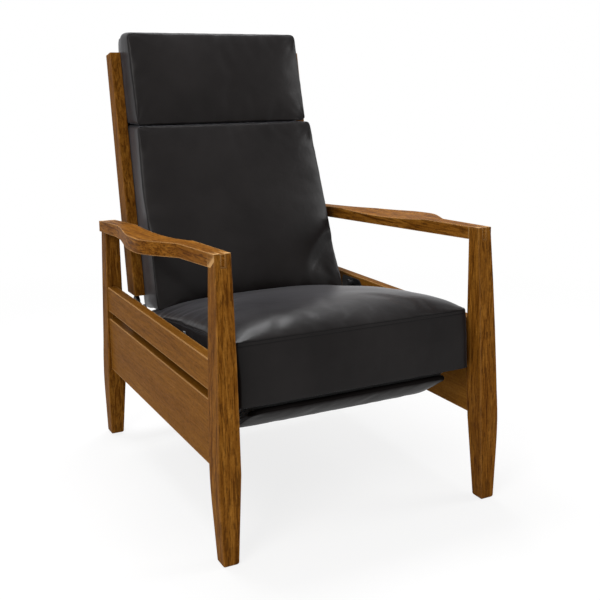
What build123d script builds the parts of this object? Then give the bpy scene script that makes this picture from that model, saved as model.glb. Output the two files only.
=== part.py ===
from build123d import *
import math
import os

# A push-back recliner with open oak side frames. Sizes are millimetres and angles are degrees.
# X runs across the chair with the sitter's left at positive X, Y runs from the front to the
# rear, and Z runs up from the floor. Pieces of the left side are made first and mirrored.
# The finished chair is moved along Y so that its origin lies below the middle of its box.

# Fits
JOINT_GAP = 0.1
PIVOT_GAP = 0.05
OPEN_PIVOT_GAP = 0.3
SIDE_GAP = 0.3
SOFT_GAP = 0.5
SCREW_GAP = 0.05
OVERRUN = 20.0

# Places across the chair, each layer counted inward from the outer faces of the side rails
RAIL_OUTER = 325.0
RAIL_THICKNESS = 23.0
RAIL_PROUD = 4.0
POST_WIDTH = 34.0
PLATE_THICKNESS = 3.0
LINK_THICKNESS = 4.0
SIDE_PLATE_THICKNESS = 4.0
HINGE_PLATE_THICKNESS = 5.0
HANGER_STANDOFF = 11.0
SEAT_STANDOFF = 20.0
HINGE_STANDOFF = 1.5
LINKAGE_STANDOFF = 0.5
SEAT_CLEARANCE = 9.0
STILE_WALL = 11.0
STILE_WIDTH = 27.5
FOOTREST_CLEARANCE = 6.0

RAIL_INNER = RAIL_OUTER - RAIL_THICKNESS
POST_OUTER = RAIL_OUTER - RAIL_PROUD
POST_INNER = POST_OUTER - POST_WIDTH
HANGER_INNER = RAIL_INNER - PLATE_THICKNESS
SWING_LINK_INNER = HANGER_INNER - HANGER_STANDOFF - LINK_THICKNESS
SIDE_PLATE_OUTER = SWING_LINK_INNER - SEAT_STANDOFF
SEAT_FRAME_HALF = SIDE_PLATE_OUTER - SIDE_PLATE_THICKNESS
CONTROL_INNER = SEAT_FRAME_HALF - LINKAGE_STANDOFF - LINK_THICKNESS
CRANK_INNER = CONTROL_INNER - LINKAGE_STANDOFF - LINK_THICKNESS
BAR_INNER = CRANK_INNER - LINKAGE_STANDOFF - LINK_THICKNESS
BRACKET_INNER = BAR_INNER - LINKAGE_STANDOFF - PLATE_THICKNESS
HINGE_PLATE_OUTER = SEAT_FRAME_HALF - HINGE_STANDOFF
HINGE_PLATE_INNER = HINGE_PLATE_OUTER - HINGE_PLATE_THICKNESS
STILE_OUTER = HINGE_PLATE_OUTER + STILE_WALL
STILE_INNER = STILE_OUTER - STILE_WIDTH
SEAT_HALF = POST_INNER - SEAT_CLEARANCE
FOOTREST_HALF = BRACKET_INNER - FOOTREST_CLEARANCE

# Posts, seen from the front
KNEE_OUT = 13.8
KNEE_HEIGHT = 185.0
KNEE_LENGTH = 65.0
KNEE_ABOVE_SHARE = 0.83
KNEE_BELOW_SHARE = 0.93
FOOT_OUT = 7.7
FOOT_IN = 8.3
FOOT_CHAMFER = 3.0

# Posts, seen from the side
FRONT_POST_Y = -386.8
FRONT_POST_DEPTH = 32.5
FRONT_KNEE_LEAN = 29.0
FRONT_FOOT_LEAN = 29.5
FRONT_FOOT_DEPTH = 33.5
FRONT_BOW = 3.5
FRONT_BACK_LEAN = 3.0
FRONT_BACK_BEND_Z = 300.0
REAR_POST_Y = 347.2
REAR_POST_DEPTH = 38.0
REAR_KNEE_LEAN = 11.0
REAR_FOOT_Y = 356.2
REAR_FOOT_DEPTH = 36.0

# Arms
ARM_FRONT_TOP = 615.0
ARM_REAR_TOP = 573.0
ARM_THICKNESS = 27.0
ARM_BOW = 4.0
ARM_PROUD = 1.0
ARM_SWELL = 53.0
ARM_SWELL_START_Y = -207.0
ARM_SWELL_END_Y = 250.0
ARM_SWELL_SHARES = (
    (0.0, 0.08), (0.045, 0.27), (0.13, 0.63), (0.235, 0.96), (0.33, 1.0), (0.46, 0.90),
    (0.59, 0.70), (0.72, 0.46), (0.82, 0.28), (0.91, 0.17), (1.0, 0.12),
)
TONGUE_WIDTH = 9.5
SCOOP_DEPTH = 9.0
SCOOP_LENGTH = 420.0
SCOOP_Y = 10.0

# Side rails and cross rails
RAIL_EDGE_RADIUS = 1.5
UPPER_RAIL_BOTTOM = 342.0
UPPER_RAIL_TOP = 405.5
LOWER_RAIL_BOTTOM = 187.0
LOWER_RAIL_TOP = 323.0
TENON_THICKNESS = 9.0
TENON_LENGTH = 20.0
TENON_SHOULDER = 12.0
CROSS_RAIL_THICKNESS = 22.0
CROSS_TENON_LENGTH = 12.0
MIDDLE_RAIL_CLEARANCE = 33.78
MIDDLE_RAIL_BOTTOM = 205.0
MIDDLE_RAIL_TOP = 262.0
REAR_RAIL_Y = 364.0
REAR_RAIL_BOTTOM = 205.0
REAR_RAIL_TOP = 300.0

# Hanger plates and swing links
HANGER_BOTTOM = 275.0
HANGER_TOP = 399.0
HANGER_FRONT_Y = -165.0
HANGER_REAR_Y = 215.0
HANGER_CORNER_RADIUS = 12.0
HANGER_WAIST = 30.0
SWING_LENGTH = 80.0
SWING_START_ANGLE = 15.0
SWING_WIDTH = 22.0
SWING_PIVOT_Z = 385.0
FRONT_SWING_Y = -110.0
REAR_SWING_Y = 160.0

# Studs of the swing links and the back, and smaller ones of the footrest linkage
STUD_RADIUS = 4.0
SPACER_RADIUS = 7.0
HEAD_RADIUS = 6.5
HEAD_THICKNESS = 2.0
LARGE_STUD = (STUD_RADIUS, SPACER_RADIUS, HEAD_RADIUS, HEAD_THICKNESS)
SMALL_STUD_RADIUS = 3.5
SMALL_SPACER_RADIUS = 5.5
SMALL_HEAD_RADIUS = 5.5
SMALL_HEAD_THICKNESS = 1.5
SMALL_STUD = (SMALL_STUD_RADIUS, SMALL_SPACER_RADIUS, SMALL_HEAD_RADIUS, SMALL_HEAD_THICKNESS)

# Crown of every soft form: places across it and the share of the crown that is reached there
CROWN_SHARES = ((1.03, 0.04), (0.95, 0.38), (0.82, 0.68), (0.55, 0.93), (0.0, 1.0))
ARC_SHARE = 0.25
ROUND_SHARE = 0.2929

# Seat
SEAT_FRONT_Y = -371.8
SEAT_REAR_Y = 205.0
SEAT_SEAM_Z = 433.0
SEAT_SLOPE_SHARE = 0.1
SEAT_CREST_Y = -300.0
SEAT_BROW_Y = -138.0
SEAT_CREST_HEIGHT = 45.0
SEAT_FALL_Y = 120.0
SEAT_FALL_HEIGHT = 20.0
SEAT_REAR_HEIGHT = 6.0
SEAT_BOTTOM = 343.0
SEAT_DRAW_IN = 3.0
SEAT_CORNER_RADIUS = 9.0
APRON_BOTTOM = 304.0
APRON_LEAN = 12.5
APRON_DEPTH = 54.0
SEAT_FRAME_TOP = 357.0
SEAT_FRAME_BOTTOM = 330.0
SEAT_RAIL_THICKNESS = 26.0
SEAT_FRONT_RAIL_THICKNESS = 24.0
SEAT_FRONT_RAIL_BOTTOM = 309.0
SEAT_FRONT_RAIL_Y = -361.0
SEAT_FRAME_REAR_Y = 180.0
WEBBING_THICKNESS = 2.0
SEAT_WEBBING_WIDTH = 50.0
SEAT_WEBBING_COUNT = 5
DUST_COVER_THICKNESS = 1.0
SIDE_PLATE_BOTTOM = 291.0
SIDE_PLATE_FRONT_Y = -236.0
SIDE_PLATE_TOP = 350.0
SIDE_PLATE_REAR_Y = 160.0
SIDE_PLATE_NECK = 30.0

# Back
HINGE_Y = 312.0
HINGE_Z = 368.0
HINGE_EAR_RADIUS = 13.0
STILE_BOTTOM = 386.0
STILE_TOP = 1000.0
STILE_TOP_FALL = 8.0
STILE_FRONT_Y = 290.0
STILE_FRONT_RAKE_SHARE = 0.2135
STILE_REAR_Y = 354.0
STILE_REAR_RAKE_SHARE = 0.1765
STILE_EDGE_RADIUS = 2.5
BACK_RAIL_THICKNESS = 18.0
BACK_BOTTOM_RAIL_Z = (406.0, 450.0)
BACK_MIDDLE_RAIL_Z = (640.0, 680.0)
BACK_TOP_RAIL_Z = (926.0, 972.0)
BACK_TENON_LENGTH = 8.0
BACK_WEBBING_WIDTH = 60.0
BACK_WEBBING_COUNT = 4
BACK_PANEL_THICKNESS = 4.0
HINGE_PLATE_WIDTH = 30.0
HINGE_PLATE_TOP = 500.0
HINGE_PIN_RADIUS = 3.0
HINGE_PIN_SPACING = 26.0
HINGE_PIN_LENGTH = 18.0

# Lower back cushion
CUSHION_FOOT_SPREAD = 16.0
CUSHION_HEAD_SPREAD = 0.5
CUSHION_BOTTOM = 380.0
CUSHION_TOP = 815.0
CUSHION_FOOT_Y = 141.0
CUSHION_BELLY_Y = 226.0
CUSHION_BELLY_Z = 620.0
CUSHION_HEAD_Y = 299.7
CUSHION_CROWN = 16.0
CUSHION_LUMBAR_BULGE = 6.0
CUSHION_UPPER_HOLLOW = 3.0
CUSHION_DRAW_IN = 3.5
CUSHION_TRIM = 2.0
CUSHION_CORNER_RADIUS = 14.0
CUSHION_REST_GAP = 2.0

# Head pillow
PILLOW_NARROWING = 4.5
PILLOW_GAP = 3.0
PILLOW_HEIGHT = 230.0
PILLOW_FOOT_Y = 312.0
PILLOW_HEAD_Y = 377.0
PILLOW_REAR_Y = 443.0
PILLOW_REAR_RADIUS = 30.0
PILLOW_CROWN = 15.0
PILLOW_FRONT_BULGE = 9.0
PILLOW_TOP_BULGE = 4.0
PILLOW_DRAW_IN = 3.0
PILLOW_CORNER_RADIUS = 20.0
PILLOW_STEP_GAP = 4.0
PILLOW_BOTTOM = CUSHION_TOP + PILLOW_GAP
PILLOW_TOP = PILLOW_BOTTOM + PILLOW_HEIGHT
PILLOW_STEP_Z = BACK_TOP_RAIL_Z[1] + PILLOW_STEP_GAP

# Footrest linkage, in the chair's closed position
CRANK_PIVOT_Y = -212.0
CRANK_PIVOT_Z = 312.0
CRANK_START_ANGLE = 330.0
CRANK_LENGTH = 150.0
PIVOT_SPACING = 45.0
BAR_START_ANGLE = 170.0
BAR_LENGTH = 211.0
BAR_WIDTH = 14.0
TUBE_LENGTH = 75.0
TUBE_RADIUS = 8.0
TUBE_WALL = 1.5

# Footrest
FOOTREST_Y = -308.8
FOOTREST_Z = 253.0
FOOTREST_ANGLE = 33.0
FOOTREST_LENGTH = 120.0
FOOTREST_THICKNESS = 26.0
FOOTREST_CORNER_RADIUS = 25.0
FOOTREST_CROWN = 7.0
BOARD_THICKNESS = 9.0
BOARD_MARGIN = 3.0
BRACKET_WIDTH = 16.0
BRACKET_FLANGE = 36.0
BRACKET_LENGTH = 70.0

# Screws
SCREW_RADIUS = 2.2
SCREW_HEAD_RADIUS = 4.2
SCREW_HEAD = 1.8
HANGER_SCREW_DEPTH = 16.0
HANGER_SCREW_MARGIN = 14.0
HANGER_SCREW_COUNT = 4
SEAT_SCREW_DEPTH = 18.0
SEAT_SCREW_COUNT = 4
BRACKET_SCREW_DEPTH = 6.0

RIGHT_ANGLE = 90.0
ALONG_SHARE = 0.9

parts = {}


def keep(name, *solids):
    parts[name] = Compound(children=list(solids)) if len(solids) > 1 else solids[0]


def keep_pair(name, solid):
    keep(name + "_left", solid)
    keep(name + "_right", mirror(solid, about=Plane.YZ))


def both_sides(solids):
    return list(solids) + [mirror(solid, about=Plane.YZ) for solid in solids]


def as_one(shape):
    """The single solid that a chain of cuts and joins leaves."""
    solids = shape.solids()
    return max(solids, key=lambda solid: solid.volume)


def block(x_span, y_span, z_span):
    spans = (x_span, y_span, z_span)
    low = [min(span) for span in spans]
    size = [abs(span[1] - span[0]) for span in spans]
    return Pos(*low) * Box(*size, align=(Align.MIN, Align.MIN, Align.MIN))


def face_of(edges):
    return Face(Wire(edges))


def side_face(points):
    """A face in the plane across the chair's middle, from (y, z) points."""
    return face_of(Polyline(*[(0, y, z) for y, z in points], close=True).edges())


def across(face, x_span):
    """A solid that runs across the chair between two X places, from a face at X = 0."""
    low, high = min(x_span), max(x_span)
    return extrude(Pos(low, 0, 0) * face, high - low, dir=(1, 0, 0))


def disc(place, radius, x_span):
    """A round pin along X at a (y, z) place."""
    low, high = min(x_span), max(x_span)
    plane = Plane(origin=(low, place[0], place[1]), z_dir=(1, 0, 0))
    return Part() + Solid.make_cylinder(radius, high - low, plane)


def onward(place, degrees, length):
    """The (y, z) place at a length from another, in a direction counted from the rear upward."""
    angle = math.radians(degrees)
    return (place[0] + length * math.cos(angle), place[1] + length * math.sin(angle))


def bar_face(start, end, width):
    """A flat bar with round ends between two (y, z) pivots."""
    half = width / 2
    angle = math.degrees(math.atan2(end[1] - start[1], end[0] - start[0]))
    corners = [onward(place, angle + turn, half) for place, turn in (
        (start, RIGHT_ANGLE), (start, -RIGHT_ANGLE), (end, -RIGHT_ANGLE), (end, RIGHT_ANGLE))]
    first, second, third, fourth = [(0, y, z) for y, z in corners]
    back = (0, *onward(start, angle, -half))
    tip = (0, *onward(end, angle, half))
    return face_of([
        ThreePointArc(first, back, second),
        Line(second, third),
        ThreePointArc(third, tip, fourth),
        Line(fourth, first),
    ])


def long_edges(solid, axis, length):
    return [edge for edge in solid.edges() if edge.length > length and runs_along(edge, axis)]


def runs_along(edge, axis):
    first, last = edge.vertices()[0], edge.vertices()[-1]
    way = Vector(last.X - first.X, last.Y - first.Y, last.Z - first.Z)
    return way.length > 0 and abs(way.normalized().dot(axis.direction)) > ALONG_SHARE


# Side frame

def arm_top(y):
    rear = REAR_POST_Y + REAR_POST_DEPTH
    share = (y - FRONT_POST_Y) / (rear - FRONT_POST_Y)
    return ARM_FRONT_TOP + share * (ARM_REAR_TOP - ARM_FRONT_TOP)


def post_front_outline(top):
    outer, inner = POST_OUTER, POST_INNER
    head = (outer, 0, top)
    above = (outer + KNEE_ABOVE_SHARE * KNEE_OUT, 0, KNEE_HEIGHT + KNEE_LENGTH)
    knee = (outer + KNEE_OUT, 0, KNEE_HEIGHT)
    below = (outer + KNEE_BELOW_SHARE * KNEE_OUT, 0, KNEE_HEIGHT - KNEE_LENGTH)
    foot = (outer + FOOT_OUT, 0, FOOT_CHAMFER)
    sole = (outer + FOOT_OUT - FOOT_CHAMFER, 0, 0)
    inner_sole = (inner + FOOT_IN + FOOT_CHAMFER, 0, 0)
    inner_foot = (inner + FOOT_IN, 0, FOOT_CHAMFER)
    inner_knee = (inner, 0, KNEE_HEIGHT)
    inner_head = (inner, 0, top)
    return face_of([
        Line(head, above),
        ThreePointArc(above, knee, below),
        Line(below, foot),
        Line(foot, sole),
        Line(sole, inner_sole),
        Line(inner_sole, inner_foot),
        Line(inner_foot, inner_knee),
        Line(inner_knee, inner_head),
        Line(inner_head, head),
    ])


def front_post_side():
    rear_y = FRONT_POST_Y + FRONT_POST_DEPTH
    head = (0, FRONT_POST_Y, arm_top(FRONT_POST_Y))
    knee = (0, FRONT_POST_Y - FRONT_KNEE_LEAN, KNEE_HEIGHT)
    middle = (0, (head[1] + knee[1]) / 2 - FRONT_BOW, (head[2] + knee[2]) / 2)
    foot = (0, FRONT_POST_Y - FRONT_FOOT_LEAN, FOOT_CHAMFER)
    sole = (0, foot[1] + FOOT_CHAMFER, 0)
    rear_foot = (0, foot[1] + FRONT_FOOT_DEPTH, FOOT_CHAMFER)
    rear_sole = (0, rear_foot[1] - FOOT_CHAMFER, 0)
    bend = (0, rear_y - FRONT_BACK_LEAN, FRONT_BACK_BEND_Z)
    rear_head = (0, rear_y, arm_top(rear_y))
    return face_of([
        ThreePointArc(head, middle, knee),
        Line(knee, foot),
        Line(foot, sole),
        Line(sole, rear_sole),
        Line(rear_sole, rear_foot),
        Line(rear_foot, bend),
        Line(bend, rear_head),
        Line(rear_head, head),
    ])


def rear_post_side():
    rear_y = REAR_POST_Y + REAR_POST_DEPTH
    return side_face([
        (REAR_POST_Y, arm_top(REAR_POST_Y)),
        (REAR_POST_Y - REAR_KNEE_LEAN, KNEE_HEIGHT),
        (REAR_FOOT_Y, FOOT_CHAMFER),
        (REAR_FOOT_Y + FOOT_CHAMFER, 0),
        (REAR_FOOT_Y + REAR_FOOT_DEPTH - FOOT_CHAMFER, 0),
        (REAR_FOOT_Y + REAR_FOOT_DEPTH, FOOT_CHAMFER),
        (rear_y, KNEE_HEIGHT),
        (rear_y, arm_top(rear_y)),
    ])


def post_blank(side):
    reach = POST_OUTER + KNEE_OUT + OVERRUN
    sawn = across(side, (0, reach))
    seen = extrude(post_front_outline(ARM_FRONT_TOP + OVERRUN), ARM_FRONT_TOP, both=True)
    return sawn & seen


def tongue_span(gap):
    middle = POST_OUTER - POST_WIDTH / 2
    half = TONGUE_WIDTH / 2 + gap
    return (middle - half, middle + half)


def arm_slot():
    """The open slot through a post's head that the arm's tongue fills."""
    front, rear = FRONT_POST_Y - OVERRUN, REAR_POST_Y + REAR_POST_DEPTH + OVERRUN
    drop = ARM_THICKNESS + JOINT_GAP
    outline = side_face([
        (front, arm_top(front) - drop), (rear, arm_top(rear) - drop),
        (rear, arm_top(rear) + OVERRUN), (front, arm_top(front) + OVERRUN)])
    return across(outline, tongue_span(JOINT_GAP))


def arm_side():
    front, rear = FRONT_POST_Y, REAR_POST_Y + REAR_POST_DEPTH
    middle = (front + rear) / 2
    front_top = (0, front, arm_top(front))
    rear_top = (0, rear, arm_top(rear))
    return face_of([
        ThreePointArc(front_top, (0, middle, arm_top(middle) + ARM_BOW), rear_top),
        Line(rear_top, (0, rear, arm_top(rear) - ARM_THICKNESS)),
        Line((0, rear, arm_top(rear) - ARM_THICKNESS), (0, front, arm_top(front) - ARM_THICKNESS)),
        Line((0, front, arm_top(front) - ARM_THICKNESS), front_top),
    ])


def arm_plan():
    inner = POST_INNER
    outer = POST_OUTER + ARM_PROUD
    front, rear = FRONT_POST_Y, REAR_POST_Y + REAR_POST_DEPTH
    length = ARM_SWELL_END_Y - ARM_SWELL_START_Y
    swell = [(outer + out * ARM_SWELL, ARM_SWELL_START_Y + along * length)
             for along, out in ARM_SWELL_SHARES]
    return face_of([
        Line((inner, front), (outer, front)),
        Line((outer, front), swell[0]),
        Spline(*swell),
        Line(swell[-1], (swell[-1][0], rear)),
        Line((swell[-1][0], rear), (inner, rear)),
        Line((inner, rear), (inner, front)),
    ])


def arm_scoop():
    """A wide shallow hollow that deepens towards the arm's inner edge."""
    inner = POST_INNER
    half = SCOOP_LENGTH / 2
    radius = (half * half + SCOOP_DEPTH * SCOOP_DEPTH) / (2 * SCOOP_DEPTH)
    rise = math.degrees(math.atan2(SCOOP_DEPTH, ARM_SWELL + POST_WIDTH))
    fall = math.degrees(math.atan2(ARM_FRONT_TOP - ARM_REAR_TOP,
                                   REAR_POST_Y + REAR_POST_DEPTH - FRONT_POST_Y))
    surface = arm_top(SCOOP_Y) + ARM_BOW
    tool = Cylinder(radius, SCOOP_LENGTH, rotation=(0, RIGHT_ANGLE, 0))
    tool = Pos(0, 0, radius) * tool
    return Pos(inner, SCOOP_Y, surface - SCOOP_DEPTH) * Rot(-fall, -rise, 0) * tool


def arm_blank():
    slab = across(arm_side(), (0, POST_OUTER + ARM_SWELL + OVERRUN))
    plan = extrude(arm_plan(), ARM_FRONT_TOP + OVERRUN, dir=(0, 0, 1))
    return slab & plan


def tenon_part(x_middle, y_span, z_span, gap):
    half = TENON_THICKNESS / 2 + gap
    low, high = z_span
    return block((x_middle - half, x_middle + half), y_span,
                 (low + TENON_SHOULDER - gap, high - TENON_SHOULDER + gap))


def rail_tenons(z_span, gap):
    """Both tenons of a side rail, long enough to reach into the posts."""
    middle = (RAIL_INNER + RAIL_OUTER) / 2
    front = FRONT_POST_Y + FRONT_POST_DEPTH - FRONT_BACK_LEAN - TENON_LENGTH - gap
    rear = REAR_POST_Y + TENON_LENGTH + gap
    return tenon_part(middle, (front, rear), z_span, gap)


def side_rail(z_span, posts):
    span = (FRONT_POST_Y, REAR_POST_Y + REAR_POST_DEPTH)
    rail = block((RAIL_INNER, RAIL_OUTER), span, z_span)
    rail = fillet(long_edges(rail, Axis.Y, TENON_LENGTH), RAIL_EDGE_RADIUS)
    for post in posts:
        rail = rail - post
    rail = Part() + as_one(rail)
    return as_one(rail + rail_tenons(z_span, 0))


def cross_rail(half, y, z_span, gap):
    """The body and the tenons of a rail across the chair."""
    depth = CROSS_RAIL_THICKNESS / 2
    body = block((-half, half), (y - depth, y + depth), z_span)
    reach = half + CROSS_TENON_LENGTH + gap
    inset = TENON_THICKNESS / 2 + gap
    low, high = z_span
    tenons = block((-reach, reach), (y - inset, y + inset),
                   (low + TENON_SHOULDER - gap, high - TENON_SHOULDER + gap))
    return body, tenons


def make_side_frame():
    front_blank = post_blank(front_post_side())
    rear_blank = post_blank(rear_post_side())
    blanks = [front_blank, rear_blank]
    upper, lower = (UPPER_RAIL_BOTTOM, UPPER_RAIL_TOP), (LOWER_RAIL_BOTTOM, LOWER_RAIL_TOP)

    rear_z = (REAR_RAIL_BOTTOM, REAR_RAIL_TOP)
    rear_body, rear_tenons = cross_rail(POST_INNER, REAR_RAIL_Y, rear_z, 0)
    rear_mortise = cross_rail(POST_INNER, REAR_RAIL_Y, rear_z, JOINT_GAP)[1]
    middle_z = (MIDDLE_RAIL_BOTTOM, MIDDLE_RAIL_TOP)
    control_tip = crank_places()[4]
    middle_y = control_tip[0] + MIDDLE_RAIL_CLEARANCE
    middle_body, middle_tenons = cross_rail(RAIL_INNER, middle_y, middle_z, 0)
    middle_mortise = cross_rail(RAIL_INNER, middle_y, middle_z, JOINT_GAP)[1]

    slot = arm_slot()
    for name, blank in (("front_post", front_blank), ("rear_post", rear_blank)):
        post = blank
        for z_span in (upper, lower):
            post = post - rail_tenons(z_span, JOINT_GAP)
        post = post - slot - rear_mortise
        keep_pair(name, as_one(post))

    arm_full = arm_blank() - arm_scoop()
    arm = as_one(arm_full - front_blank - rear_blank)
    arm = Part() + arm
    tongue = across(arm_side(), tongue_span(0))
    for blank in blanks:
        arm = arm + (arm_full & blank & tongue)
    keep_pair("arm", as_one(arm))

    keep_pair("upper_rail", side_rail(upper, blanks))
    lower_rail = Part() + side_rail(lower, blanks)
    keep_pair("lower_rail", as_one(lower_rail - middle_mortise))
    keep("middle_cross_rail", as_one(middle_body + middle_tenons))
    shoulders = rear_blank - rear_mortise
    shoulders = shoulders + mirror(shoulders, about=Plane.YZ)
    keep("rear_cross_rail", as_one(rear_body + rear_tenons - shoulders))


# Pivots

def stud(place, plate_span, piece_span, sizes):
    """A stud through a plate: a spacer up to the swinging piece, a shank through it and a head."""
    shank, spacer, head, head_thickness = sizes
    back, face = plate_span
    near, far = piece_span
    side = 1 if far > face else -1
    pieces = disc(place, shank, (back, far + side * SIDE_GAP))
    pieces += disc(place, spacer, (face, near - side * SIDE_GAP))
    pieces += disc(place, head, (far + side * SIDE_GAP, far + side * (SIDE_GAP + head_thickness)))
    return as_one(pieces)


def drilled(blank, places, radius):
    """A flat piece on the left side with a hole along X at each place."""
    for place in places:
        blank = blank - disc(place, radius, (0, POST_OUTER))
    return blank


def swing_foot(upper_y):
    """Where a hanging link's lower pivot lies at rest."""
    return onward((upper_y, SWING_PIVOT_Z), -RIGHT_ANGLE - SWING_START_ANGLE, SWING_LENGTH)


def swing_link(upper_y):
    upper, lower = (upper_y, SWING_PIVOT_Z), swing_foot(upper_y)
    span = (SWING_LINK_INNER, SWING_LINK_INNER + LINK_THICKNESS)
    link = across(bar_face(upper, lower, SWING_WIDTH), span)
    return as_one(drilled(link, (upper, lower), STUD_RADIUS + PIVOT_GAP))


def make_hangers():
    inner, outer = HANGER_INNER, RAIL_INNER
    waist_z = HANGER_BOTTOM + HANGER_WAIST
    front_in, rear_in = FRONT_SWING_Y + HANGER_WAIST, REAR_SWING_Y - HANGER_WAIST
    outline = side_face([
        (HANGER_FRONT_Y, HANGER_BOTTOM), (HANGER_REAR_Y, HANGER_BOTTOM),
        (HANGER_REAR_Y, HANGER_TOP), (rear_in, HANGER_TOP),
        (rear_in - HANGER_WAIST, HANGER_TOP - HANGER_WAIST),
        (front_in + HANGER_WAIST, HANGER_TOP - HANGER_WAIST),
        (front_in, HANGER_TOP), (HANGER_FRONT_Y, HANGER_TOP)])
    plate = across(outline, (inner, outer))
    plate = fillet(long_edges(plate, Axis.X, 0), HANGER_CORNER_RADIUS)
    link_far = SWING_LINK_INNER
    link_near = SWING_LINK_INNER + LINK_THICKNESS
    places = [(y, SWING_PIVOT_Z) for y in (FRONT_SWING_Y, REAR_SWING_Y)]
    studs = [stud(place, (outer, inner), (link_near, link_far), LARGE_STUD) for place in places]
    plate = drilled(plate, places, STUD_RADIUS + SCREW_GAP)
    screws = []
    low = waist_z - HANGER_SCREW_MARGIN
    high = HANGER_TOP - HANGER_WAIST - HANGER_SCREW_MARGIN
    first, last = HANGER_FRONT_Y + HANGER_SCREW_MARGIN, HANGER_REAR_Y - HANGER_SCREW_MARGIN
    for index in range(HANGER_SCREW_COUNT):
        y = first + (last - first) * index / (HANGER_SCREW_COUNT - 1)
        for z in (low, high):
            screws.append(screw((y, z), inner, outer + HANGER_SCREW_DEPTH))
            plate = plate - screw_hole((y, z), (inner - OVERRUN, outer + OVERRUN))
            for name in ("upper_rail", "lower_rail"):
                cut_screw_holes(name, (y, z), (inner, outer + HANGER_SCREW_DEPTH + JOINT_GAP))
    keep_pair("hanger_plate", as_one(plate))
    keep("hanger_screws", *both_sides(screws))
    keep("hanger_studs", *both_sides(studs))
    keep_pair("front_swing_link", swing_link(FRONT_SWING_Y))
    keep_pair("rear_swing_link", swing_link(REAR_SWING_Y))


def screw(place, head_face, end):
    """A pan head screw along X, its head seated on a plate's inner face."""
    side = 1 if end > head_face else -1
    body = disc(place, SCREW_RADIUS, (head_face, end))
    return as_one(body + disc(place, SCREW_HEAD_RADIUS, (head_face - side * SCREW_HEAD, head_face)))


def screw_hole(place, x_span):
    return disc(place, SCREW_RADIUS + SCREW_GAP, x_span)


def cut_screw_holes(name, place, x_span):
    hole = screw_hole(place, x_span)
    parts[name + "_left"] = as_one(Part() + parts[name + "_left"] - hole)
    parts[name + "_right"] = as_one(Part() + parts[name + "_right"] - mirror(hole, about=Plane.YZ))


# Seat

def seam_height(y):
    return SEAT_SEAM_Z - SEAT_SLOPE_SHARE * (y - SEAT_FRONT_Y)


def between(place, first, last):
    """How far a place lies from the first value to the last, as a share."""
    return (place - first) / (last - first)


def bulged_ring(x, corners, bulges):
    """A closed outline at one X place; each side stands out from its chord by its bulge."""
    edges = []
    count = len(corners)
    for index, (y, z) in enumerate(corners):
        next_y, next_z = corners[(index + 1) % count]
        start, end = (x, y, z), (x, next_y, next_z)
        bulge = bulges[index]
        if bulge:
            length = math.hypot(next_y - y, next_z - z)
            out_y, out_z = -(next_z - z) / length, (next_y - y) / length
            middle = (x, (y + next_y) / 2 + out_y * bulge, (z + next_z) / 2 + out_z * bulge)
            edges.append(ThreePointArc(start, middle, end))
        else:
            edges.append(Line(start, end))
    return face_of(edges)


def crowned(half, outline):
    """A soft form lofted across the chair; outline(share) gives its ring at a crown share."""
    places = [(-at * half, crown) for at, crown in CROWN_SHARES]
    places += [(at * half, crown) for at, crown in reversed(CROWN_SHARES[:-1])]
    return loft([bulged_ring(x, *outline(crown)) for x, crown in places])


def seat_ring(crown):
    crest = seam_height(SEAT_CREST_Y) + SEAT_CREST_HEIGHT * crown
    brow = seam_height(SEAT_BROW_Y) + SEAT_CREST_HEIGHT * crown
    fall = seam_height(SEAT_FALL_Y) + SEAT_FALL_HEIGHT * crown
    rear = seam_height(SEAT_REAR_Y) + SEAT_REAR_HEIGHT * crown
    apron_y = SEAT_FRONT_Y - APRON_LEAN
    apron_rear_y = apron_y + APRON_DEPTH
    corners = [
        (SEAT_FRONT_Y, SEAT_SEAM_Z), (SEAT_CREST_Y, crest), (SEAT_BROW_Y, brow),
        (SEAT_FALL_Y, fall), (SEAT_REAR_Y, rear), (SEAT_REAR_Y, SEAT_BOTTOM),
        (apron_rear_y, SEAT_BOTTOM), (apron_rear_y, APRON_BOTTOM), (apron_y, APRON_BOTTOM)]
    front_bulge = SEAT_CREST_HEIGHT * crown * ARC_SHARE
    top_bulge = SEAT_REAR_HEIGHT * crown * ARC_SHARE
    fall_bulge = (SEAT_CREST_HEIGHT - SEAT_FALL_HEIGHT) * crown * ARC_SHARE
    apron_bulge = APRON_LEAN * ARC_SHARE + APRON_LEAN * ARC_SHARE * crown
    return corners, [front_bulge, top_bulge, fall_bulge, 0, 0, 0, 0, 0, apron_bulge]


def seat_plan():
    """The seat's outline from above: its sides drawn in and its corners rounded."""
    front = SEAT_FRONT_Y - 2 * APRON_LEAN - OVERRUN
    waist_y = (front + SEAT_REAR_Y) / 2
    waist = SEAT_HALF - SEAT_DRAW_IN
    face = face_of([
        Line((-SEAT_HALF, front), (SEAT_HALF, front)),
        ThreePointArc((SEAT_HALF, front), (waist, waist_y), (SEAT_HALF, SEAT_REAR_Y)),
        Line((SEAT_HALF, SEAT_REAR_Y), (-SEAT_HALF, SEAT_REAR_Y)),
        ThreePointArc((-SEAT_HALF, SEAT_REAR_Y), (-waist, waist_y), (-SEAT_HALF, front)),
    ])
    plan = extrude(face, SEAT_SEAM_Z + 2 * SEAT_CREST_HEIGHT, dir=(0, 0, 1))
    return fillet(long_edges(plan, Axis.Z, 0), SEAT_CORNER_RADIUS)


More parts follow.
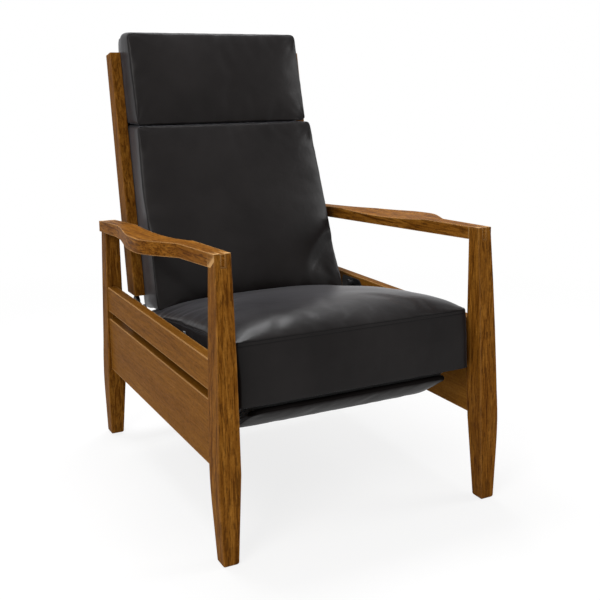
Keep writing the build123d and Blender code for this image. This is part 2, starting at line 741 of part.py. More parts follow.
def make_seat():
    front_rail_rear = SEAT_FRONT_RAIL_Y + SEAT_FRONT_RAIL_THICKNESS
    rail_z = (SEAT_FRAME_BOTTOM, SEAT_FRAME_TOP)
    inner = SEAT_FRAME_HALF - SEAT_RAIL_THICKNESS
    front_rail = block((-SEAT_FRAME_HALF, SEAT_FRAME_HALF), (SEAT_FRONT_RAIL_Y, front_rail_rear),
                       (SEAT_FRONT_RAIL_BOTTOM, SEAT_FRAME_TOP))
    side_rail_block = block((inner, SEAT_FRAME_HALF), (front_rail_rear, SEAT_FRAME_REAR_Y), rail_z)
    rear_rail = block((-inner, inner), (SEAT_FRAME_REAR_Y - SEAT_RAIL_THICKNESS, SEAT_FRAME_REAR_Y),
                      rail_z)

    webs = []
    web_half = SEAT_WEBBING_WIDTH / 2
    usable = 2 * inner - SEAT_WEBBING_WIDTH
    for index in range(SEAT_WEBBING_COUNT):
        x = -usable / 2 + usable * index / (SEAT_WEBBING_COUNT - 1)
        webs.append(block((x - web_half, x + web_half), (SEAT_FRONT_RAIL_Y, SEAT_FRAME_REAR_Y),
                          (SEAT_FRAME_TOP, SEAT_FRAME_TOP + WEBBING_THICKNESS)))
    cover = block((-inner, inner), (front_rail_rear, SEAT_FRAME_REAR_Y - SEAT_RAIL_THICKNESS),
                  (SEAT_FRAME_BOTTOM, SEAT_FRAME_BOTTOM + DUST_COVER_THICKNESS))

    form = crowned(SEAT_HALF, seat_ring)
    plate_outer = SIDE_PLATE_OUTER
    pocket = block((-plate_outer - SOFT_GAP, plate_outer + SOFT_GAP),
                   (SEAT_FRONT_RAIL_Y - SOFT_GAP, SEAT_FRAME_REAR_Y + SOFT_GAP),
                   (0, SEAT_FRAME_TOP + WEBBING_THICKNESS + SOFT_GAP))
    ear_way = block((SEAT_FRAME_HALF - SOFT_GAP, plate_outer + SOFT_GAP),
                    (0, SEAT_REAR_Y + OVERRUN), (0, HINGE_Z))
    cushion = (form & seat_plan()) - pocket - ear_way - mirror(ear_way, about=Plane.YZ)
    keep("seat_cushion", as_one(cushion))
    keep("seat_front_rail", front_rail)
    keep("seat_rear_rail", rear_rail)
    keep("seat_dust_cover", cover)
    keep("seat_webbing", *webs)
    keep_pair("seat_side_rail", side_rail_block)
    make_seat_plates()


def make_seat_plates():
    inner, outer = SEAT_FRAME_HALF, SIDE_PLATE_OUTER
    hinge = (HINGE_Y, HINGE_Z)
    crank = (CRANK_PIVOT_Y, CRANK_PIVOT_Z)
    control = onward(crank, BAR_START_ANGLE, -PIVOT_SPACING)
    rear_foot = swing_foot(REAR_SWING_Y)
    strip = side_face([
        (SIDE_PLATE_FRONT_Y, SIDE_PLATE_BOTTOM), (SIDE_PLATE_REAR_Y, SIDE_PLATE_BOTTOM),
        (SIDE_PLATE_REAR_Y + SIDE_PLATE_NECK, SIDE_PLATE_TOP - SIDE_PLATE_NECK),
        (SIDE_PLATE_REAR_Y + SIDE_PLATE_NECK, SIDE_PLATE_TOP), (SIDE_PLATE_FRONT_Y, SIDE_PLATE_TOP)])
    plate = across(strip, (inner, outer))
    neck_start = (SIDE_PLATE_REAR_Y, SIDE_PLATE_TOP - HINGE_EAR_RADIUS - SIDE_PLATE_THICKNESS)
    plate += across(bar_face(neck_start, hinge, 2 * HINGE_EAR_RADIUS), (inner, outer))
    swing_span = (SWING_LINK_INNER, SWING_LINK_INNER + LINK_THICKNESS)
    hinge_span = (HINGE_PLATE_OUTER, HINGE_PLATE_INNER)
    crank_span = (CRANK_INNER + LINK_THICKNESS, CRANK_INNER)
    control_span = (CONTROL_INNER + LINK_THICKNESS, CONTROL_INNER)
    outward, inward = (inner, outer), (outer, inner)
    feet = [swing_foot(y) for y in (FRONT_SWING_Y, REAR_SWING_Y)]
    studs = [stud(place, outward, swing_span, LARGE_STUD) for place in feet]
    studs.append(stud(hinge, inward, hinge_span, LARGE_STUD))
    studs.append(stud(crank, inward, crank_span, SMALL_STUD))
    studs.append(stud(control, inward, control_span, SMALL_STUD))
    plate = drilled(plate, [*feet, hinge], STUD_RADIUS + SCREW_GAP)
    plate = drilled(plate, [crank, control], SMALL_STUD_RADIUS + SCREW_GAP)
    screws = []
    z = (SEAT_FRAME_BOTTOM + SIDE_PLATE_TOP) / 2
    first, last = SIDE_PLATE_FRONT_Y + PIVOT_SPACING, rear_foot[0]
    for index in range(SEAT_SCREW_COUNT):
        y = first + (last - first) * index / (SEAT_SCREW_COUNT - 1)
        screws.append(flush_screw((y, z), outer, inner - SEAT_SCREW_DEPTH))
        plate = plate - screw_hole((y, z), (inner - OVERRUN, outer + OVERRUN))
        plate = plate - disc((y, z), SCREW_HEAD_RADIUS + SCREW_GAP,
                             (outer - SCREW_HEAD, outer + OVERRUN))
        cut_screw_holes("seat_side_rail", (y, z), (inner - SEAT_SCREW_DEPTH - JOINT_GAP, inner))
    keep_pair("seat_side_plate", as_one(plate))
    keep("seat_plate_screws", *both_sides(screws))
    keep("seat_studs", *both_sides(studs))


def flush_screw(place, outer_face, end):
    """A screw along X whose head lies flush in a plate's outer face."""
    side = 1 if end > outer_face else -1
    body = disc(place, SCREW_RADIUS, (outer_face, end))
    return as_one(body + disc(place, SCREW_HEAD_RADIUS, (outer_face, outer_face + side * SCREW_HEAD)))


# Back

def stile_front(z):
    return STILE_FRONT_Y + STILE_FRONT_RAKE_SHARE * (z - STILE_BOTTOM)


def stile_rear(z):
    return STILE_REAR_Y + STILE_REAR_RAKE_SHARE * (z - STILE_BOTTOM)


def back_line(z, offset):
    """The middle of the stiles at a height, moved to the rear by an offset."""
    return (stile_front(z) + stile_rear(z)) / 2 + offset


def slanted_face(z_span, front, rear):
    low, high = z_span
    return side_face([
        (back_line(low, front), low), (back_line(low, rear), low),
        (back_line(high, rear), high), (back_line(high, front), high)])


def hinge_plate_face(gap):
    half = HINGE_PLATE_WIDTH / 2 + gap
    return slanted_face((HINGE_Z, HINGE_PLATE_TOP + gap), -half, half)


def stile_blank():
    """A stile before its slot and mortises are cut."""
    rear_top = STILE_TOP - STILE_TOP_FALL
    outline = side_face([
        (stile_front(STILE_BOTTOM), STILE_BOTTOM), (stile_rear(STILE_BOTTOM), STILE_BOTTOM),
        (stile_rear(rear_top), rear_top), (stile_front(STILE_TOP), STILE_TOP)])
    blank = across(outline, (STILE_INNER, STILE_OUTER))
    return fillet([edge for edge in blank.edges() if runs_along(edge, Axis.Z)], STILE_EDGE_RADIUS)


def make_stiles():
    stile = stile_blank()
    plate_span = (HINGE_PLATE_INNER, HINGE_PLATE_OUTER)
    slot_span = (HINGE_PLATE_INNER - JOINT_GAP, HINGE_PLATE_OUTER + JOINT_GAP)
    stile = stile - across(hinge_plate_face(JOINT_GAP), slot_span)
    for z_span in (BACK_BOTTOM_RAIL_Z, BACK_MIDDLE_RAIL_Z, BACK_TOP_RAIL_Z):
        stile = stile - back_tenon(z_span, JOINT_GAP)

    hinge = (HINGE_Y, HINGE_Z)
    plate = across(hinge_plate_face(0), plate_span) + disc(hinge, HINGE_EAR_RADIUS, plate_span)
    plate = plate - disc(hinge, STUD_RADIUS + PIVOT_GAP, (STILE_INNER, STILE_OUTER))
    middle = (HINGE_PLATE_INNER + HINGE_PLATE_OUTER) / 2
    reach = HINGE_PIN_LENGTH / 2
    pins = []
    z = HINGE_PLATE_TOP - HINGE_PIN_SPACING / 2
    for place_z in (z, z - HINGE_PIN_SPACING):
        place = (back_line(place_z, 0), place_z)
        pins.append(as_one(disc(place, HINGE_PIN_RADIUS, (middle - reach, middle + reach))))
        hole_span = (middle - reach - JOINT_GAP, middle + reach + JOINT_GAP)
        hole = disc(place, HINGE_PIN_RADIUS + SCREW_GAP, hole_span)
        plate = plate - hole
        stile = stile - hole
    keep_pair("back_stile", as_one(stile))
    keep_pair("back_hinge_plate", as_one(plate))
    keep("back_hinge_pins", *both_sides(pins))


def back_tenon(z_span, gap):
    low, high = z_span
    reach = STILE_INNER + BACK_TENON_LENGTH + gap
    half = TENON_THICKNESS / 2 + gap
    face = slanted_face((low + TENON_SHOULDER / 2 - gap, high - TENON_SHOULDER / 2 + gap),
                        -half, half)
    return across(face, (-reach, reach))


def back_rail(z_span):
    half = BACK_RAIL_THICKNESS / 2
    rail = across(slanted_face(z_span, -half, half), (-STILE_INNER, STILE_INNER))
    return as_one(rail + back_tenon(z_span, 0))


def make_back_frame():
    make_stiles()
    keep("back_bottom_rail", back_rail(BACK_BOTTOM_RAIL_Z))
    keep("back_middle_rail", back_rail(BACK_MIDDLE_RAIL_Z))
    keep("back_top_rail", back_rail(BACK_TOP_RAIL_Z))
    half = BACK_RAIL_THICKNESS / 2
    whole = (BACK_BOTTOM_RAIL_Z[0], BACK_TOP_RAIL_Z[1])
    webs = []
    web_half = BACK_WEBBING_WIDTH / 2
    usable = 2 * STILE_INNER - BACK_WEBBING_WIDTH * 2
    for index in range(BACK_WEBBING_COUNT):
        x = -usable / 2 + usable * index / (BACK_WEBBING_COUNT - 1)
        face = slanted_face(whole, -half - WEBBING_THICKNESS, -half)
        webs.append(across(face, (x - web_half, x + web_half)))
    keep("back_webbing", *webs)
    panel = across(slanted_face(whole, half, half + BACK_PANEL_THICKNESS),
                   (-STILE_INNER + SIDE_GAP, STILE_INNER - SIDE_GAP))
    keep("outer_back_panel", panel)


def soft_back_line(z):
    """Where the back of a cushion lies against the webbing."""
    return back_line(z, -BACK_RAIL_THICKNESS / 2 - WEBBING_THICKNESS - SOFT_GAP)


def cushion_ring(crown):
    forward = CUSHION_CROWN * crown
    corners = [
        (CUSHION_FOOT_Y - forward / 2, CUSHION_BOTTOM), (CUSHION_BELLY_Y - forward, CUSHION_BELLY_Z),
        (CUSHION_HEAD_Y - forward / 2, CUSHION_TOP), (soft_back_line(CUSHION_TOP), CUSHION_TOP),
        (soft_back_line(CUSHION_BOTTOM), CUSHION_BOTTOM)]
    return corners, [CUSHION_LUMBAR_BULGE * crown, -CUSHION_UPPER_HOLLOW, 0, 0, 0]


def seat_rest_height(crown):
    """The height of the seat's top below the front foot of the back cushion."""
    y = CUSHION_FOOT_Y - CUSHION_CROWN / 2
    share = between(y, SEAT_FALL_Y, SEAT_REAR_Y)
    height = SEAT_FALL_HEIGHT + share * (SEAT_REAR_HEIGHT - SEAT_FALL_HEIGHT)
    return seam_height(y) + height * crown


def cushion_foot():
    """The lower edge of the back cushion from the front, which follows the seat's crown."""
    half = STILE_INNER + CUSHION_FOOT_SPREAD + CUSHION_TRIM
    end_at = half / SEAT_HALF
    (outer_at, outer_crown), (inner_at, inner_crown) = CROWN_SHARES[1:3]
    end_crown = outer_crown + between(end_at, outer_at, inner_at) * (inner_crown - outer_crown)
    reached = ((end_at, end_crown), *CROWN_SHARES[2:])
    right = [(at * SEAT_HALF, 0, seat_rest_height(crown) + CUSHION_REST_GAP)
             for at, crown in reached]
    left = [(-x, 0, z) for x, y, z in right]
    return left + right[-2::-1]


def upright_outline(low_edge, half_top, top, draw_in, corner):
    """A cushion's outline from the front: its sides drawn in and its corners rounded."""
    first, last = low_edge[0], low_edge[-1]
    middle_z = (first[2] + top) / 2
    half_middle = (last[0] + half_top) / 2 - draw_in
    foot = Spline(*low_edge) if len(low_edge) > 2 else Line(first, last)
    face = face_of([
        foot,
        ThreePointArc(last, (half_middle, 0, middle_z), (half_top, 0, top)),
        Line((half_top, 0, top), (-half_top, 0, top)),
        ThreePointArc((-half_top, 0, top), (-half_middle, 0, middle_z), first),
    ])
    prism = extrude(face, stile_rear(PILLOW_TOP) + OVERRUN, dir=(0, 1, 0))
    return fillet(long_edges(prism, Axis.Y, 0), corner)


def boxing(low, high):
    """The room of a cushion's sides, from its front seam back between the stiles.

    low and high each give a height, the front seam's Y and half the width there.
    """
    (low_z, low_y, low_half), (high_z, high_y, high_half) = low, high
    sections = []
    for z in (low_z - OVERRUN, high_z + OVERRUN):
        share = between(z, low_z, high_z)
        seam_y = low_y + share * (high_y - low_y)
        half = low_half + share * (high_half - low_half)
        meet_y = stile_front(z) - SOFT_GAP
        rear_half = STILE_INNER - SOFT_GAP
        front_half = half + (half - rear_half) * OVERRUN * 2 / (meet_y - seam_y)
        front_y, rear_y = seam_y - 2 * OVERRUN, stile_rear(z) + OVERRUN
        right = [(front_half, front_y, z), (rear_half, meet_y, z), (rear_half, rear_y, z)]
        left = [(-x, y, z) for x, y, z in reversed(right)]
        sections.append(face_of(Polyline(*right, *left, close=True).edges()))
    return loft(sections, ruled=True)


def make_back_cushions():
    half_foot = STILE_INNER + CUSHION_FOOT_SPREAD
    half_head = STILE_INNER + CUSHION_HEAD_SPREAD
    outline = upright_outline(cushion_foot(), half_head + CUSHION_TRIM, CUSHION_TOP,
                              CUSHION_DRAW_IN, CUSHION_CORNER_RADIUS)
    sides = boxing((CUSHION_BOTTOM, CUSHION_FOOT_Y, half_foot), (CUSHION_TOP, CUSHION_HEAD_Y, half_head))
    form = crowned(half_foot, cushion_ring)
    keep("back_cushion", as_one(form & outline & sides))

    half = STILE_INNER - PILLOW_NARROWING
    trim = STILE_INNER + CUSHION_TRIM
    margin = PILLOW_CORNER_RADIUS / 2
    low_edge = [(-trim, 0, PILLOW_BOTTOM - margin), (trim, 0, PILLOW_BOTTOM - margin)]
    outline = upright_outline(low_edge, trim, PILLOW_TOP + margin, PILLOW_DRAW_IN,
                              PILLOW_CORNER_RADIUS)
    sides = boxing((PILLOW_BOTTOM, PILLOW_FOOT_Y, half), (PILLOW_TOP, PILLOW_HEAD_Y, half))
    form = crowned(trim, pillow_ring)
    keep("head_pillow", as_one(form & outline & sides))


def pillow_ring(crown):
    forward = PILLOW_CROWN * crown
    turn_y, turn_z = PILLOW_REAR_Y - PILLOW_REAR_RADIUS, PILLOW_TOP - PILLOW_REAR_RADIUS
    corners = [
        (PILLOW_FOOT_Y - forward / 2, PILLOW_BOTTOM), (PILLOW_HEAD_Y - forward / 2, PILLOW_TOP),
        (turn_y, PILLOW_TOP), (PILLOW_REAR_Y, turn_z), (PILLOW_REAR_Y, PILLOW_STEP_Z),
        (soft_back_line(PILLOW_STEP_Z), PILLOW_STEP_Z), (soft_back_line(PILLOW_BOTTOM), PILLOW_BOTTOM)]
    front_bulge = PILLOW_FRONT_BULGE + forward / 2
    top_bulge = PILLOW_TOP_BULGE * (ARC_SHARE + crown / 2)
    return corners, [front_bulge, top_bulge, PILLOW_REAR_RADIUS * ROUND_SHARE, 0, 0, 0, 0]


# Footrest

def crank_places():
    """The pivots of the footrest linkage at rest, as (y, z) places."""
    crank = (CRANK_PIVOT_Y, CRANK_PIVOT_Z)
    knee = onward(crank, CRANK_START_ANGLE, CRANK_LENGTH)
    tip = onward(crank, CRANK_START_ANGLE, CRANK_LENGTH + PIVOT_SPACING)
    control = onward(crank, BAR_START_ANGLE, -PIVOT_SPACING)
    control_tip = onward(control, CRANK_START_ANGLE, CRANK_LENGTH)
    foot = onward(knee, BAR_START_ANGLE, BAR_LENGTH)
    foot_drive = onward(foot, CRANK_START_ANGLE, PIVOT_SPACING)
    return crank, knee, tip, control, control_tip, foot, foot_drive


def make_linkage():
    crank, knee, tip, control, control_tip, foot, foot_drive = crank_places()
    bar_span = (BAR_INNER, BAR_INNER + LINK_THICKNESS)
    crank_span = (CRANK_INNER, CRANK_INNER + LINK_THICKNESS)
    control_span = (CONTROL_INNER, CONTROL_INNER + LINK_THICKNESS)

    bar_near, bar_far = reversed(bar_span)
    running, fixed = SMALL_STUD_RADIUS + PIVOT_GAP, SMALL_STUD_RADIUS + SCREW_GAP
    open_hole = SMALL_STUD_RADIUS + OPEN_PIVOT_GAP

    main = drilled(across(bar_face(crank, tip, BAR_WIDTH), crank_span), [crank], running)
    main = drilled(main, [knee, tip], fixed)
    outward_in = tuple(reversed(crank_span))
    main_studs = [stud(place, outward_in, (bar_near, bar_far), SMALL_STUD)
                  for place in (knee, tip)]
    arm = drilled(across(bar_face(control, control_tip, BAR_WIDTH), control_span),
                  [control], running)
    arm = drilled(arm, [control_tip], fixed)
    arm_stud = stud(control_tip, tuple(reversed(control_span)), (bar_near, bar_far), SMALL_STUD)
    bar = drilled(across(bar_face(control_tip, foot, BAR_WIDTH), bar_span), [knee, foot], running)
    bar = drilled(bar, [control_tip], open_hole)
    drive = drilled(across(bar_face(tip, foot_drive, BAR_WIDTH), bar_span), [tip], running)
    drive = drilled(drive, [foot_drive], open_hole)
    keep_pair("main_crank", as_one(main))
    keep("main_crank_studs", *both_sides(main_studs))
    keep_pair("control_crank", as_one(arm))
    keep("control_crank_studs", *both_sides([arm_stud]))
    keep_pair("footrest_bar", as_one(bar))
    keep_pair("drive_bar", as_one(drive))

    place = onward(crank, CRANK_START_ANGLE, TUBE_LENGTH)
    tube = disc(place, TUBE_RADIUS, (-CRANK_INNER, CRANK_INNER))
    tube = tube - disc(place, TUBE_RADIUS - TUBE_WALL, (-CRANK_INNER, CRANK_INNER))
    keep("crank_cross_tube", as_one(tube))


def footrest_place(along, outward):
    """A (y, z) place on the footrest, counted along its slope and out through its leather."""
    centre = (FOOTREST_Y, FOOTREST_Z)
    place = onward(centre, -FOOTREST_ANGLE, along)
    return onward(place, -FOOTREST_ANGLE - RIGHT_ANGLE, outward)


def footrest_face(along_span, out_span):
    low, high = along_span
    near, far = out_span
    return side_face([footrest_place(low, near), footrest_place(high, near),
                      footrest_place(high, far), footrest_place(low, far)])


def pad_ring(crown):
    half, thick = FOOTREST_LENGTH / 2, FOOTREST_THICKNESS / 2
    near = BOARD_THICKNESS - thick + SOFT_GAP
    out = thick - FOOTREST_CROWN + FOOTREST_CROWN * crown / 2
    corners = [footrest_place(-half, near), footrest_place(half, near),
               footrest_place(half, out), footrest_place(-half, out)]
    return corners, [0, 0, FOOTREST_CROWN / 2, 0]


def rounded_footrest(half, margin):
    """The footrest's outline seen square on, with its rear corners rounded."""
    reach = FOOTREST_LENGTH / 2 - margin
    top, bottom = footrest_place(-reach, 0), footrest_place(reach, 0)
    plane = Plane(origin=(0, FOOTREST_Y, FOOTREST_Z), x_dir=(1, 0, 0),
                  z_dir=(0, top[1] - bottom[1], bottom[0] - top[0]))
    sheet = Rectangle(2 * half, 2 * reach)
    corner = min(FOOTREST_CORNER_RADIUS, reach / 2)
    lower = [vertex for vertex in sheet.vertices() if (plane * Vertex(vertex)).Z < FOOTREST_Z]
    sheet = fillet(lower, corner)
    return extrude(plane * sheet, FOOTREST_THICKNESS, both=True)


def make_footrest():
    foot, foot_drive = crank_places()[-2:]
    half, thick = FOOTREST_LENGTH / 2, FOOTREST_THICKNESS / 2
    board_half = FOOTREST_HALF - BOARD_MARGIN
    board = across(footrest_face((-half, half), (-thick, BOARD_THICKNESS - thick)),
                   (-board_half, board_half))
    board = board & rounded_footrest(board_half, BOARD_MARGIN)
    pad = crowned(FOOTREST_HALF, pad_ring) & rounded_footrest(FOOTREST_HALF, 0)

    plate_span = (BRACKET_INNER, BRACKET_INNER + PLATE_THICKNESS)
    bracket = across(bar_face(foot, foot_drive, BRACKET_WIDTH), plate_span)
    reach = BRACKET_LENGTH / 2
    web = footrest_face((-reach, reach), (-thick - PLATE_THICKNESS, -thick - BRACKET_WIDTH))
    bracket += across(web, plate_span)
    flange = footrest_face((-reach, reach), (-thick - PLATE_THICKNESS, -thick))
    bracket += across(flange, (BRACKET_INNER - BRACKET_FLANGE, plate_span[1]))
    bar_span = (BAR_INNER, BAR_INNER + LINK_THICKNESS)
    bracket = drilled(bracket, (foot, foot_drive), SMALL_STUD_RADIUS + SCREW_GAP)
    studs = [stud(place, plate_span, bar_span, SMALL_STUD) for place in (foot, foot_drive)]

    screws = []
    x = BRACKET_INNER - BRACKET_FLANGE / 2
    for share in (-1, 1):
        along = share * reach / 2
        screws.append(board_screw(x, along))
        hole = board_drill(x, along)
        bracket = bracket - hole
        board = board - hole - mirror(hole, about=Plane.YZ)
    keep("footrest_board", as_one(board))
    keep("footrest_pad", as_one(pad))
    keep_pair("footrest_bracket", as_one(bracket))
    keep("footrest_screws", *both_sides(screws))
    keep("footrest_studs", *both_sides(studs))


def board_axis(x, along):
    thick = FOOTREST_THICKNESS / 2
    seat_place = footrest_place(along, -thick - PLATE_THICKNESS)
    deep_place = footrest_place(along, -thick + BRACKET_SCREW_DEPTH)
    way = (0, deep_place[0] - seat_place[0], deep_place[1] - seat_place[1])
    return Plane(origin=(x, seat_place[0], seat_place[1]), z_dir=way)


def board_screw(x, along):
    plane = board_axis(x, along)
    head_plane = plane.offset(-SCREW_HEAD)
    shank = Solid.make_cylinder(SCREW_RADIUS, PLATE_THICKNESS + BRACKET_SCREW_DEPTH, plane)
    head = Solid.make_cylinder(SCREW_HEAD_RADIUS, SCREW_HEAD, head_plane)
    return as_one(Part() + shank + head)


def board_drill(x, along):
    plane = board_axis(x, along)
    depth = PLATE_THICKNESS + BRACKET_SCREW_DEPTH + JOINT_GAP
    return Part() + Solid.make_cylinder(SCREW_RADIUS + SCREW_GAP, depth, plane)


make_side_frame()
make_hangers()
make_seat()
make_back_frame()
make_back_cushions()
make_linkage()
make_footrest()

front_y = FRONT_POST_Y - max(FRONT_KNEE_LEAN, FRONT_FOOT_LEAN)
rear_y = stile_rear(STILE_TOP - STILE_TOP_FALL)
to_origin = Pos(0, -(front_y + rear_y) / 2, 0)
print("moved along Y by", -(front_y + rear_y) / 2)

os.makedirs("parts", exist_ok=True)
for name, shape in parts.items():
    solids = [to_origin * solid for solid in shape.solids()]
    placed = Compound(children=solids) if len(solids) > 1 else solids[0]
    export_step(placed, "parts/" + name + ".step")
    print(name, len(solids), round(placed.volume))
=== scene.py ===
import math

import bmesh
import bpy
from mathutils import Matrix, Vector, noise


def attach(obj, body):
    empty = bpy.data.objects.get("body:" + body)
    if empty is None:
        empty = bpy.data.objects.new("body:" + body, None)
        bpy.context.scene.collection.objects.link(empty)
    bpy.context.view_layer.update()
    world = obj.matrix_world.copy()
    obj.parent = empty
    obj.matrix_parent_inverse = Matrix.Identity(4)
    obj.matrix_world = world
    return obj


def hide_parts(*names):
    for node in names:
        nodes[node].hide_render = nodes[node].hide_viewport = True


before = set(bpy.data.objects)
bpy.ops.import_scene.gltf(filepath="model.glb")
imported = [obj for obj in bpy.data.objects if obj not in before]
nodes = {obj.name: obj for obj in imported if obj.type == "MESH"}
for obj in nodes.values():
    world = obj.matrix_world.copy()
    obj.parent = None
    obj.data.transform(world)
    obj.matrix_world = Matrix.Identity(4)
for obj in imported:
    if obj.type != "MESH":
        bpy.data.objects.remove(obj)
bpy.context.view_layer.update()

# A push-back recliner with open oak side frames and nearly black leather. +Z is up, the
# sitter faces -Y and the sitter's left is at +X. Materials, lamps and wood edges are in
# metres. The leather forms are in millimetres, as in the part's drawing, and boxed_form
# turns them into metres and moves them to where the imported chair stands.

MM = 0.001
SIDES = ("_left", "_right")
WHITE = (1, 1, 1)
BLACK = (0, 0, 0)

# Camera: its place and angles, and the photograph's focal length and principal point
CAMERA_PLACE = (-0.9443, -1.9626, 0.9400)
CAMERA_YAW = math.radians(27.264)
CAMERA_PITCH = math.radians(10.769)
CAMERA_ROLL = math.radians(0.385)
PHOTO_PIXELS = 600
FOCAL_PIXELS = 919.9
PRINCIPAL_PIXEL = (299.62, 249.90)
SENSOR_WIDTH = 36.0
CLIP_START, CLIP_END = 0.05, 100

# Light. The floor turns from its own shade to plain white between the two FLOOR_FADE radii.
WORLD_LIGHT = 0.50
FLOOR_HALF = 9.0
FLOOR_TONE = 0.86
FLOOR_SEEN_WHITE = 0.80
FLOOR_FADE = (0.9, 2.6)
# Lamps: place, target, width and height, watts, colour
LAMPS = {"key": ((-2.1, -1.7, 2.2), (0, 0, 0.5), (1.2, 1.2), 42, (1.0, 0.98, 0.95)),
         "top": ((-0.1, 0.8, 2.6), (0, -0.2, 0.45), (2.0, 0.8), 62, (0.97, 0.98, 1.0)),
         "side": ((2.6, -0.9, 1.7), (0, 0, 0.6), (0.9, 1.3), 26, WHITE)}


# Camera, floor and lamps

def place_object(name, data):
    thing = bpy.data.objects.new(name, data)
    bpy.context.scene.collection.objects.link(thing)
    return thing


def make_camera():
    yaw, pitch, roll = CAMERA_YAW, CAMERA_PITCH, CAMERA_ROLL
    ahead = Vector((math.sin(yaw) * math.cos(pitch), math.cos(yaw) * math.cos(pitch), -math.sin(pitch)))
    right = Vector((math.cos(yaw), -math.sin(yaw), 0))
    down = ahead.cross(right)
    tilted_right = math.cos(roll) * right + math.sin(roll) * down
    tilted_down = -math.sin(roll) * right + math.cos(roll) * down
    turn = Matrix((tilted_right, -tilted_down, -ahead)).transposed()
    data = bpy.data.cameras.new("camera")
    data.sensor_width = SENSOR_WIDTH
    data.lens = FOCAL_PIXELS / PHOTO_PIXELS * SENSOR_WIDTH
    middle = PHOTO_PIXELS / 2
    data.shift_x = (middle - PRINCIPAL_PIXEL[0]) / PHOTO_PIXELS
    data.shift_y = (PRINCIPAL_PIXEL[1] - middle) / PHOTO_PIXELS
    data.clip_start = CLIP_START
    data.clip_end = CLIP_END
    camera = place_object("camera", data)
    camera.matrix_world = Matrix.Translation(CAMERA_PLACE) @ turn.to_4x4()
    bpy.context.scene.camera = camera


def set_inputs(nt, node, inputs):
    """Gives each named input its number, its colour or its link from another node."""
    for key, value in inputs.items():
        if isinstance(value, bpy.types.NodeSocket):
            nt.links.new(value, node.inputs[key])
        else:
            node.inputs[key].default_value = value


def add_node(nt, kind, inputs, **settings):
    node = nt.nodes.new(kind)
    for name, value in settings.items():
        setattr(node, name, value)
    set_inputs(nt, node, inputs)
    return node


def math_node(nt, operation, first, second):
    return add_node(nt, "ShaderNodeMath", {0: first, 1: second}, operation=operation).outputs[0]


def seen_white(nt):
    """1 for rays from the camera or from a mirror or glass, 0 for rays that carry light."""
    path = nt.nodes.new("ShaderNodeLightPath").outputs
    mirrored = math_node(nt, "MAXIMUM", path["Is Camera Ray"], path["Is Glossy Ray"])
    return math_node(nt, "MAXIMUM", mirrored, path["Is Transmission Ray"])


def make_world():
    world = bpy.data.worlds.new("studio")
    world.use_nodes = True
    nt = world.node_tree
    strength = add_node(nt, "ShaderNodeMapRange", {"Value": seen_white(nt), "To Min": WORLD_LIGHT, "To Max": 1})
    set_inputs(nt, nt.nodes["Background"], {"Color": (*WHITE, 1), "Strength": strength.outputs["Result"]})
    bpy.context.scene.world = world


def make_floor():
    half = FLOOR_HALF
    mesh = bpy.data.meshes.new("floor")
    mesh.from_pydata([(-half, -half, 0), (half, -half, 0), (half, half, 0), (-half, half, 0)], [], [(0, 1, 2, 3)])
    floor = place_object("floor", mesh)
    material = bpy.data.materials.new("floor")
    material.use_nodes = True
    nt = material.node_tree
    nt.nodes.clear()
    plain = add_node(nt, "ShaderNodeBsdfDiffuse", {"Color": (FLOOR_TONE, FLOOR_TONE, FLOOR_TONE, 1)})
    white = add_node(nt, "ShaderNodeEmission", {"Color": (*WHITE, 1), "Strength": 1})
    place = nt.nodes.new("ShaderNodeTexCoord").outputs["Object"]
    away = add_node(nt, "ShaderNodeVectorMath", {0: place}, operation="LENGTH")
    fade_inputs = {"Value": away.outputs["Value"], "From Min": FLOOR_FADE[0], "From Max": FLOOR_FADE[1],
                   "To Min": FLOOR_SEEN_WHITE}
    fade = add_node(nt, "ShaderNodeMapRange", fade_inputs, interpolation_type="SMOOTHSTEP")
    share = math_node(nt, "MULTIPLY", seen_white(nt), fade.outputs["Result"])
    mix = add_node(nt, "ShaderNodeMixShader", {"Fac": share, 1: plain.outputs[0], 2: white.outputs[0]})
    add_node(nt, "ShaderNodeOutputMaterial", {"Surface": mix.outputs[0]})
    mesh.materials.append(material)


def make_lamps():
    for name, (place, target, size, watts, tone) in LAMPS.items():
        data = bpy.data.lights.new(name, "AREA")
        data.shape = "RECTANGLE"
        data.size, data.size_y = size
        data.energy = watts
        data.color = tone
        lamp = place_object(name, data)
        lamp.location = place
        lamp.rotation_mode = "QUATERNION"
        lamp.rotation_quaternion = (Vector(target) - Vector(place)).to_track_quat("-Z", "Y")


# Materials. Colours are linear. A noise is its scale, detail, roughness and distortion, a
# bump its strength and distance, and stops pair a noise's reading with the colour there.

def grey(value):
    return (value, value, value)


def new_material(name):
    material = bpy.data.materials.new(name)
    material.use_nodes = True
    nt = material.node_tree
    return material, nt, nt.nodes["Principled BSDF"]


def ramp(nt, source, stops):
    node = add_node(nt, "ShaderNodeValToRGB", {"Fac": source})
    elements = node.color_ramp.elements
    while len(elements) < len(stops):
        elements.new(0.5)
    for element, (place, tone) in zip(elements, stops):
        element.position = place
        element.color = (*tone, 1)
    return node.outputs["Color"]


def noise_node(nt, vector, kind):
    scale, detail, rough, distort = kind
    inputs = {"Vector": vector, "Scale": scale, "Detail": detail, "Roughness": rough, "Distortion": distort}
    return add_node(nt, "ShaderNodeTexNoise", inputs).outputs["Fac"]


def mix_colour(nt, blend, share, first, second):
    inputs = {"Factor": share}
    for key, value in (("A", first), ("B", second)):
        inputs[key] = (*value, 1) if isinstance(value, tuple) else value
    return add_node(nt, "ShaderNodeMix", inputs, data_type="RGBA", blend_type=blend).outputs["Result"]


